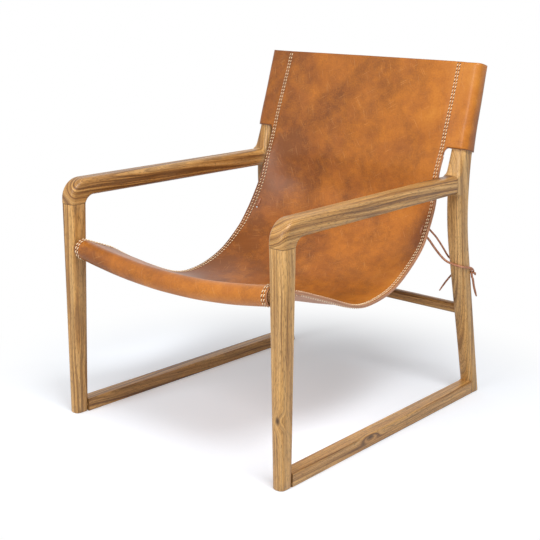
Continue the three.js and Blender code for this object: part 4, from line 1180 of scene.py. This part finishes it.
def hide_grid(sizes):
    """Middle points of the hide: rows from the top of the back to the front flap, columns from side to side."""
    rows = [sleeve_row(t) for t in shares(36)[:-1]]
    foot = len(rows)
    rows += [free_row(SLOT_SHARE * t) for t in shares(10)[:-1]]
    slot = len(rows)
    rows += [free_row(lerp(SLOT_SHARE, 1, t)) for t in shares(sizes.hide_rows)]
    free_end = len(rows)
    rows += front_sleeve_rows(rows[-1])

    wing = len(wing_at(SLEEVE_TOP, 0))
    beside = np.array((1 / 3, 2 / 3, 1))
    edge = np.array(EDGE_DISTANCES)
    middle = np.array(shares(sizes.hide_columns)[1:-1]) * 2 - 1
    first = wing + len(beside)
    width = 2 * (first + len(edge)) + len(middle)
    past_seam, far = np.full(len(beside), PAST_SEAM), np.full(len(middle), FAR_FROM_EDGE)
    grid = np.full((len(rows), width, 3), np.nan)
    from_seam, from_rim = np.full((2, len(rows), width), FAR_FROM_EDGE)
    from_seam[:, wing:-wing] = np.concatenate([past_seam, edge, far, edge[::-1], past_seam])
    for r, row in enumerate(rows):
        # From the side edge inwards, and from it outwards to the post or the slot's corner
        spare = row.half - row.seam_half
        outside, inside = row.seam_half + spare * beside, row.seam_half - edge
        line = np.concatenate([-outside[::-1], -inside, inside[-1] * middle, inside[::-1], outside])
        if r <= foot:
            line = [leaning_seam(row, x) for x in line]
            right, left = (lift * row.lift for lift in SLEEVE_LIFT)
            grid[r, :wing] = [(-x, y, z) for x, y, z in wing_at(row.z, right)[::-1]]
            grid[r, -wing:] = wing_at(row.z, left)
            # The dark line of the cut edge, dye and painted shade, is finer at the top, and below the slots
            from_top = SLEEVE_TOP - row.z + 1.4
            from_rim[r] = from_top
            from_rim[r, :first] = from_rim[r, -first:] = min(from_top, row.z - SLEEVE_FOOT)
        else:
            side, main = spare * (1 - beside), spare + edge
            from_rim[r, wing:-wing] = np.concatenate([side[::-1], main, far, main[::-1], side])
        grid[r, wing:-wing] = [hide_point(row, x) for x in line]
        if r > slot:
            grid[r, :first] = grid[r, -first:] = np.nan
            from_rim[r, wing:-wing] = from_rim[r, wing:-wing] * 0.8 + 0.9
    return Hide(grid, from_seam, from_rim, first, width - 1 - first, foot, slot, free_end)


def grid_normals(grid):
    """Unit normals of a grid of points, some of them missing, towards the back of the hide."""
    normals = np.zeros_like(grid)
    p, q, s, t = grid[:-1, :-1], grid[:-1, 1:], grid[1:, 1:], grid[1:, :-1]
    faces = np.nan_to_num(np.cross(s - p, t - q))
    for block in (normals[:-1, :-1], normals[:-1, 1:], normals[1:, 1:], normals[1:, :-1]):
        block += faces
    return normals / np.maximum(np.linalg.norm(normals, axis=2, keepdims=True), 1e-9)


def thick_sheet(grid, normals, near, far, attributes):
    """A sheet between two distances from its middle, with its cut edges rounded.

    Gives its points, its faces, the kind of each (0 the near side, 1 the far side, 2 a cut edge) and its attributes.
    """
    rows, columns, _ = grid.shape
    there = ~np.isnan(grid[:, :, 0])
    cells = there[:-1, :-1] & there[:-1, 1:] & there[1:, 1:] & there[1:, :-1]
    used = np.zeros_like(there)
    for dr, dc in ((0, 0), (0, 1), (1, 1), (1, 0)):
        used[dr : rows - 1 + dr, dc : columns - 1 + dc] |= cells
    count = used.sum()
    number = -np.ones((rows, columns), int)
    number[used] = np.arange(count)
    middle, normal = grid[used], normals[used]
    faces, kinds = [], []
    rims = {}
    for r, c in zip(*np.nonzero(cells)):
        around = [number[r, c], number[r, c + 1], number[r + 1, c + 1], number[r + 1, c]]
        faces += [tuple(around), tuple(k + count for k in around[::-1])]
        kinds += [0, 1]
        for a, b in zip(around, around[1:] + around[:1]):
            if (b, a) in rims:
                del rims[(b, a)]
            else:
                rims[(a, b)] = around
    outward = np.zeros((count, 3))
    for (a, b), around in rims.items():
        out = (middle[a] + middle[b]) / 2 - middle[around].mean(0)
        along = unit(middle[b] - middle[a])
        out = unit(out - along * np.dot(out, along))
        outward[a] += out
        outward[b] += out
    half, mean = (far - near) / 2, (far + near) / 2
    rim_points = {}
    bulges, bulge_of = [], []
    for k in dict.fromkeys(k for pair in rims for k in pair):
        out = unit(outward[k])
        start = 2 * count + len(bulges)
        for angle in (-math.pi / 4, 0, math.pi / 4):
            up = mean + half * math.sin(angle) * 0.98
            bulges.append(middle[k] + normal[k] * up + out * RIM_BULGE * math.cos(angle))
        bulge_of += [k] * 3
        rim_points[k] = (k, start, start + 1, start + 2, k + count)
    for a, b in rims:
        for i in range(4):
            faces.append((rim_points[a][i], rim_points[a][i + 1], rim_points[b][i + 1], rim_points[b][i]))
            kinds.append(2)
    points = np.concatenate([middle + normal * near, middle + normal * far, bulges])
    made = {}
    for key, values in attributes.items():
        values = values[used]
        made[key] = np.concatenate([values, values, values[bulge_of]])
    return points, faces, kinds, made


def hide_surface(sizes):
    """The hide's middle surface, with the soft unevenness of a hand-cut hide, less than a millimetre."""
    hide = hide_grid(sizes)
    a, b, c = hide.grid[..., 0], hide.grid[..., 1], hide.grid[..., 2]
    wave = 0.5 * np.sin(a / 31 + 1.3 * np.sin(c / 57)) * np.sin((b + c) / 43 + 0.7) + 0.35 * np.sin(a / 17 + b / 29)
    amount = np.ones(len(wave))
    amount[: hide.foot] = 0.8
    amount[hide.free_end :] = 0.25
    grid = hide.grid + grid_normals(hide.grid) * (wave * amount[:, None])[..., None]
    return hide._replace(grid=grid, normals=grid_normals(grid))


def along_column(hide, column):
    steps = np.linalg.norm(np.diff(hide.grid[:, column], axis=0), axis=1)
    return np.concatenate([[0], np.cumsum(np.nan_to_num(steps))])


def seam_arcs(hide):
    """For each side, how far every row of the hide is along its seam, midway between the two rows of stitches."""
    index = EDGE_DISTANCES.index(sum(STITCH_ROWS) / 2)
    return {1: along_column(hide, hide.last - index), -1: along_column(hide, hide.first + index)}


def surface_marks(hide, pitch):
    """For each point its flat place on the hide, and its place against the stitch rows and the cut edges."""
    rows, columns, _ = hide.grid.shape
    centre = (hide.first + hide.last) // 2
    gaps = np.nan_to_num(np.linalg.norm(np.diff(hide.grid, axis=1), axis=2))
    across = np.concatenate([np.zeros((rows, 1)), np.cumsum(gaps, axis=1)], axis=1)
    across -= across[:, centre : centre + 1]
    down = np.repeat(along_column(hide, centre)[:, None], columns, 1)
    arcs = seam_arcs(hide)
    count = np.where(across >= 0, arcs[1][:, None], arcs[-1][:, None]) / pitch
    flat = np.stack([across, down, np.zeros((rows, columns))], -1)
    return {"hide": flat, "stitch": np.stack([hide.from_seam, count, hide.from_rim], -1)}


class CHAIR_OT_hide(Operator):
    """Builds the one-piece hide with its sleeves, its second layer under the side edges and its lace holes"""

    bl_idname = "lounge_chair.hide"
    bl_label = "Hide"

    def execute(self, context):
        sizes = context.scene.chair_sizes
        hide = hide_surface(sizes)
        marks = surface_marks(hide, sizes.stitch_pitch / MM)
        outer, flesh, cut = (bpy.data.materials[n] for n in ("waxed_saddle_leather", "hide_flesh", "cut_edge"))
        reach = EDGE_DISTANCES.index(BAND_WIDTH) + 1
        rows = slice(hide.slot + 1, hide.free_end + 3)
        left = rows, slice(hide.last + 1 - reach, hide.last + 1)
        right = rows, slice(hide.first, hide.first + reach)
        near = HIDE_THICKNESS / 2 + BAND_GAP
        pieces = []
        for name, slot, block, start, thickness, leathers in (
            ("sling_hide", "saddle_leather", ..., -HIDE_THICKNESS / 2, HIDE_THICKNESS, (outer, flesh, cut)),
            ("edge_band_left", "band_leather", left, near, BAND_THICKNESS, (flesh, flesh, cut)),
            ("edge_band_right", "band_leather", right, near, BAND_THICKNESS, (flesh, flesh, cut)),
        ):
            kept = {key: values[block] for key, values in marks.items()}
            sheet = thick_sheet(hide.grid[block], hide.normals[block], start, start + thickness, kept)
            points, faces, kinds, attributes = sheet
            piece = make_piece(name + "_leather", points, faces, leathers, kinds, attributes, sharp=60)
            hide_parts(name)
            pieces.append(piece)
        self.punch(sizes.lace_hole / 2, pieces)
        return {"FINISHED"}

    def punch(self, radius, pieces):
        """Cuts the lace holes through the hide and its second layer."""
        cutters = []
        for place, normal in hole_places(1) + hole_places(-1):
            middle = Vector(place - np.array((0, FRONT_TO_MIDDLE, 0))) * MM
            turned = Matrix.Translation(middle) @ Vector(normal).to_track_quat("Z", "Y").to_matrix().to_4x4()
            mesh = bpy.data.meshes.new("hole")
            work = bmesh.new()
            bmesh.ops.create_cone(
                work, cap_ends=True, segments=24, radius1=radius, radius2=radius, depth=24 * MM, matrix=turned
            )
            work.to_mesh(mesh)
            work.free()
            mesh.materials.append(bpy.data.materials["cut_edge"])
            cutter = bpy.data.objects.new("hole", mesh)
            bpy.context.scene.collection.objects.link(cutter)
            cutters.append(cutter)
        for piece in pieces:
            for cutter in cutters:
                cut = piece.modifiers.new("hole", "BOOLEAN")
                cut.operation = "DIFFERENCE"
                cut.object = cutter
                cut.solver = "EXACT"
                cut.material_mode = "TRANSFER"
            graph = bpy.context.evaluated_depsgraph_get()
            made = bpy.data.meshes.new_from_object(piece.evaluated_get(graph))
            piece.modifiers.clear()
            old = piece.data
            piece.data = made
            made.name = old.name
            bpy.data.meshes.remove(old)
        for cutter in cutters:
            bpy.data.meshes.remove(cutter.data)


def hole_places(side):
    """Middle and direction of the two lace holes of one side, the upper one first."""
    x = side * (EDGE_X - HOLE_INSET)
    places = []
    for offset in (0.5, -0.5):
        goal = HOLE_HEIGHT + offset * HOLE_SPACING * HOLE_RISE
        low, high = 0.0, 0.5
        for _ in range(HALVINGS):
            t = (low + high) / 2
            low, high = (t, high) if hide_point(free_row(t), x)[2] > goal else (low, t)
        here = np.array(hide_point(free_row(low), x))
        sideways = np.array(hide_point(free_row(low), x + 2)) - here
        along = np.array(hide_point(free_row(low + 0.005), x)) - here
        places.append((here, unit(np.cross(sideways, along))))
    return places


class CHAIR_OT_stitching(Operator):
    """Sews the double rows of waxed thread along the sides of the hide"""

    bl_idname = "lounge_chair.stitching"
    bl_label = "Stitching"

    def execute(self, context):
        sizes = context.scene.chair_sizes
        hide = hide_surface(sizes)
        arcs = seam_arcs(hide)
        thread = bpy.data.materials["waxed_thread"]
        sewn_on = []
        for side, hand in SIDES:
            points, faces = [], []
            for distance in STITCH_ROWS:
                index = EDGE_DISTANCES.index(distance)
                column = hide.last - index if side > 0 else hide.first + index
                for face in (-1, 1):
                    for made, quads in self.row_of_stitches(hide, column, arcs[side], face, sizes):
                        faces += [tuple(v + len(points) for v in f) for f in quads]
                        points += made.tolist()
            piece = make_piece(f"stitching_{hand}", points, faces, [thread], sharp=80)
            sewn_on += [bpy.data.objects[f"edge_band_{hand}_leather"], piece]
        return {"FINISHED"}

    def row_of_stitches(self, hide, column, arc, face, sizes):
        """Points and faces of each stitch of a row, on the hide's outer side (face -1) or on its back (face 1)."""
        pitch, radius, slant = (size / MM for size in (sizes.stitch_pitch, sizes.thread / 2, sizes.stitch_slant))
        rows = np.arange(len(arc))
        line, facing = hide.grid[:, column], hide.normals[:, column] * face
        lift = np.full(len(arc), HIDE_THICKNESS / 2)
        if face > 0:
            lift[: hide.foot] += LAP_OFFSET
            lift[hide.slot + 2 : hide.free_end + 4] += BAND_GAP + BAND_THICKNESS
        for centre in np.arange(1, arc[-1] / pitch - 0.7) * pitch:
            if face > 0 and abs(np.interp(centre, arc, rows) - hide.foot) < 3:
                continue
            path = []
            for share in STITCH_STEPS:
                at = np.interp(centre + share * pitch, arc, rows)
                i = min(int(at), len(rows) - 2)
                w = at - i
                here = lerp(line[i], line[i + 1], w)
                out = unit(lerp(facing[i], facing[i + 1], w))
                across = np.cross(unit(line[i + 1] - line[i]), out)
                # Each end dives into its needle hole
                rise = lerp(lift[i], lift[i + 1], w) + radius * (0.85 - 12 * max(0, abs(share) - 0.19))
                path.append(here + out * rise + across * slant * share / STITCH_STEPS[-1])
            yield loft(tube(path, radius, sides=6, taper=lambda t: 1 - 0.25 * abs(2 * t - 1) ** 3))


class CHAIR_OT_laces(Operator):
    """Ties the sides of the hide to the back legs with two laces each"""

    bl_idname = "lounge_chair.laces"
    bl_label = "Laces"

    def execute(self, context):
        radius = context.scene.chair_sizes.lace / MM / 2
        thong = bpy.data.materials["cut_thong"]
        # A thong is cut square, and its edges wear round
        section = []
        for angle in [i * math.pi / 6 for i in range(12)]:
            square = 1 + 0.06 * math.cos(4 * angle)
            section.append((math.cos(angle) * square, math.sin(angle) * square * THONG_FLATNESS))
        for side, hand in SIDES:
            (upper_hole, _), (lower_hole, _) = hole_places(side)
            drawn_y = (UPPER_LACE[0][1] + LOWER_LACE[0][1]) / 2
            move = np.array((0, (upper_hole[1] + lower_hole[1]) / 2 - drawn_y - 1.2, 0))
            for name, route in (("upper", UPPER_LACE), ("lower", LOWER_LACE)):
                route = np.array(route) * (side, 1, 1)
                # The first points follow the holes, the others the leg
                route += [move * clamp01((9 - i) / 4) for i in range(len(route))]
                path = [curve_at(route, t) for t in shares(120)]
                rings = tube(path, radius, section=section, taper=lambda t: 1 - 0.35 * smooth((t - 0.97) * 33))
                piece = make_piece(f"{name}_lace_{hand}_thong", *loft(rings), [thong], sharp=60)
                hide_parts(f"{name}_lace_{hand}")
                metres = [tuple((p - (0, FRONT_TO_MIDDLE, 0)) * MM) for p in path]
                length = sum(math.dist(a, b) for a, b in zip(metres, metres[1:]))
                with_pieces = [self.knot(side, hand, radius, thong)] if name == "upper" else []
                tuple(metres[0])
        return {"FINISHED"}

    def knot(self, side, hand, radius, thong):
        """The turn of thong round both laces at the back leg's rear corner."""
        path = []
        for t in shares(60):
            angle = t * 2 * math.pi * KNOT_TURNS
            x, y = 1.4 + KNOT_RADIUS * math.cos(angle), 1.2 + KNOT_RADIUS * math.sin(angle)
            z = 5.5 * (t - 0.5) + 2.2 * math.sin(angle * 0.5)
            path.append((side * (KNOT_PLACE[0] + x), KNOT_PLACE[1] + y, KNOT_PLACE[2] + z))
        piece = make_piece(f"lace_knot_{hand}", *loft(tube(path, radius * 0.85)), [thong], sharp=60)
        return piece


# Stage


def direction(azimuth, elevation):
    """The way from the chair to a camera or a lamp, with azimuth 0 in front of it."""
    a, e = math.radians(azimuth), math.radians(elevation)
    return Vector((math.sin(a) * math.cos(e), -math.cos(a) * math.cos(e), math.sin(e)))


class CHAIR_OT_materials(Operator):
    """Makes the finishes of the wood, the leather, the thread and the laces"""

    bl_idname = "lounge_chair.materials"
    bl_label = "Finishes"

    def execute(self, context):
        colours = context.scene.chair_colours
        oiled_teak(colours)
        turned_dowel(colours)
        waxed_saddle_leather(colours)
        suede_flesh(colours, "hide_flesh", tuple(colours.flesh), 0.85)
        suede_flesh(colours, "cut_edge", tuple(colours.raw_edge), 0.6)
        waxed_thread(colours)
        cut_thong(colours)
        return {"FINISHED"}


class CHAIR_OT_camera(Operator):
    """Sets the camera to the photograph's viewing angle"""

    bl_idname = "lounge_chair.camera"
    bl_label = "Camera"

    def execute(self, context):
        back = direction(VIEW_AZIMUTH, VIEW_ELEVATION)
        roll = math.radians(VIEW_ROLL)
        level = (-back).cross(Vector((0, 0, 1))).normalized()
        upright = level.cross(-back)
        across = level * math.cos(roll) + upright * math.sin(roll)
        up = -level * math.sin(roll) + upright * math.cos(roll)
        data = bpy.data.cameras.new("view")
        data.sensor_width = SENSOR_WIDTH
        data.lens = FOCAL_LENGTH / PICTURE_SIZE * SENSOR_WIDTH
        data.shift_x = (PICTURE_SIZE / 2 - PICTURE_CENTRE[0]) / PICTURE_SIZE
        data.shift_y = (PICTURE_CENTRE[1] - PICTURE_SIZE / 2) / PICTURE_SIZE
        data.clip_end = 50
        camera = bpy.data.objects.new("view", data)
        place = (Vector(VIEW_TARGET) + back * VIEW_DISTANCE - Vector((0, FRONT_TO_MIDDLE, 0))) * MM
        turned = Matrix((across, up, back)).transposed().to_4x4()
        camera.matrix_world = Matrix.Translation(place) @ turned
        context.scene.collection.objects.link(camera)
        context.scene.camera = camera
        return {"FINISHED"}


class CHAIR_OT_stage(Operator):
    """Lays the pale floor and sets the soft studio light"""

    bl_idname = "lounge_chair.stage"
    bl_label = "Stage"

    def execute(self, context):
        scene = context.scene
        mesh = bpy.data.meshes.new("studio_floor")
        reach = 40
        mesh.from_pydata(
            [(-reach, -reach, 0), (reach, -reach, 0), (reach, reach, 0), (-reach, reach, 0)], [], [(0, 1, 2, 3)]
        )
        paper, node = new_material("studio_paper")
        white = (1, 1, 1, 1)
        diffuse = node("BsdfDiffuse", {"Color": tuple(scene.chair_colours.floor)})
        glow = node("Emission", {"Color": white, "Strength": 0.2})
        both = node("AddShader", {0: diffuse, 1: glow})
        far = node("Emission", {"Color": white, "Strength": 1.0})
        away = node("VectorMath", {0: node("TexCoord").outputs["Object"]}, operation="LENGTH").outputs["Value"]
        sockets = {"Value": away, "From Min": 0.38, "From Max": 0.9}
        fade = node("MapRange", sockets, interpolation_type="SMOOTHSTEP")
        shown = node("MixShader", {0: fade, 1: both, 2: far})
        rays = node("LightPath").outputs
        seen = node("Math", {0: rays["Is Camera Ray"], 1: rays["Is Glossy Ray"]}, operation="MAXIMUM")
        node("OutputMaterial", {"Surface": node("MixShader", {0: seen, 1: diffuse, 2: shown})})
        mesh.materials.append(paper)
        floor = bpy.data.objects.new("studio_floor", mesh)
        scene.collection.objects.link(floor)

        world = bpy.data.worlds.new("studio")
        scene.world = world
        world.use_nodes = True
        world.node_tree.nodes.clear()
        node = partial(add_node, world.node_tree)
        rays = node("LightPath").outputs
        seen = node("Math", {0: rays["Is Camera Ray"], 1: rays["Is Glossy Ray"]}, operation="MAXIMUM")
        soft = node("Background", {"Color": white, "Strength": 0.38})
        bright = node("Background", {"Color": white, "Strength": 1.0})
        node("OutputWorld", {"Surface": node("MixShader", {0: seen, 1: soft, 2: bright})})

        def lamp(name, azimuth, elevation, distance, size, power):
            """A softbox that faces the seat, from a direction counted as the camera's is."""
            way = direction(azimuth, elevation)
            data = bpy.data.lights.new(name, "AREA")
            data.shape = "RECTANGLE"
            data.size, data.size_y = size
            data.energy = power
            made = bpy.data.objects.new(name, data)
            made.location = Vector((0, 0, 0.4)) + way * distance
            made.rotation_mode = "QUATERNION"
            made.rotation_quaternion = way.to_track_quat("Z", "Y")
            scene.collection.objects.link(made)

        lamp("key_softbox", 62, 56, 3.0, (1.3, 1.0), 56)
        lamp("front_strip", -4, 30, 3.0, (1.5, 1.7), 45)

        scene.view_settings.view_transform = "Standard"
        return {"FINISHED"}


class CHAIR_PT_panel(Panel):
    """Lists the steps that build the chair"""

    bl_idname = "CHAIR_PT_panel"
    bl_label = "Lounge Chair"
    bl_space_type = "VIEW_3D"
    bl_region_type = "UI"
    bl_category = "Lounge Chair"

    def draw(self, context):
        for step in STEPS:
            self.layout.operator(step.bl_idname)
        for group in (context.scene.chair_sizes, context.scene.chair_colours):
            box = self.layout.box()
            for key in group.bl_rna.properties.keys():
                if key not in ("rna_type", "name"):
                    box.prop(group, key)


STEPS = (
    CHAIR_OT_camera,
    CHAIR_OT_materials,
    CHAIR_OT_laces,
    CHAIR_OT_legs,
    CHAIR_OT_arms,
    CHAIR_OT_sled_rails,
    CHAIR_OT_cross_rails,
    CHAIR_OT_dowels,
    CHAIR_OT_hide,
    CHAIR_OT_stitching,
    CHAIR_OT_stage,
)
CLASSES = (ChairSizes, ChairColours, *STEPS, CHAIR_PT_panel)


def register():
    for cls in CLASSES:
        bpy.utils.register_class(cls)
    bpy.types.Scene.chair_sizes = PointerProperty(type=ChairSizes)
    bpy.types.Scene.chair_colours = PointerProperty(type=ChairColours)


def unregister():
    del bpy.types.Scene.chair_colours
    del bpy.types.Scene.chair_sizes
    for cls in reversed(CLASSES):
        bpy.utils.unregister_class(cls)


def main():
    register()
    for step in STEPS:
        group, name = step.bl_idname.split(".")
        getattr(getattr(bpy.ops, group), name)()
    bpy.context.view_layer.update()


if __name__ == "__main__":
    main()
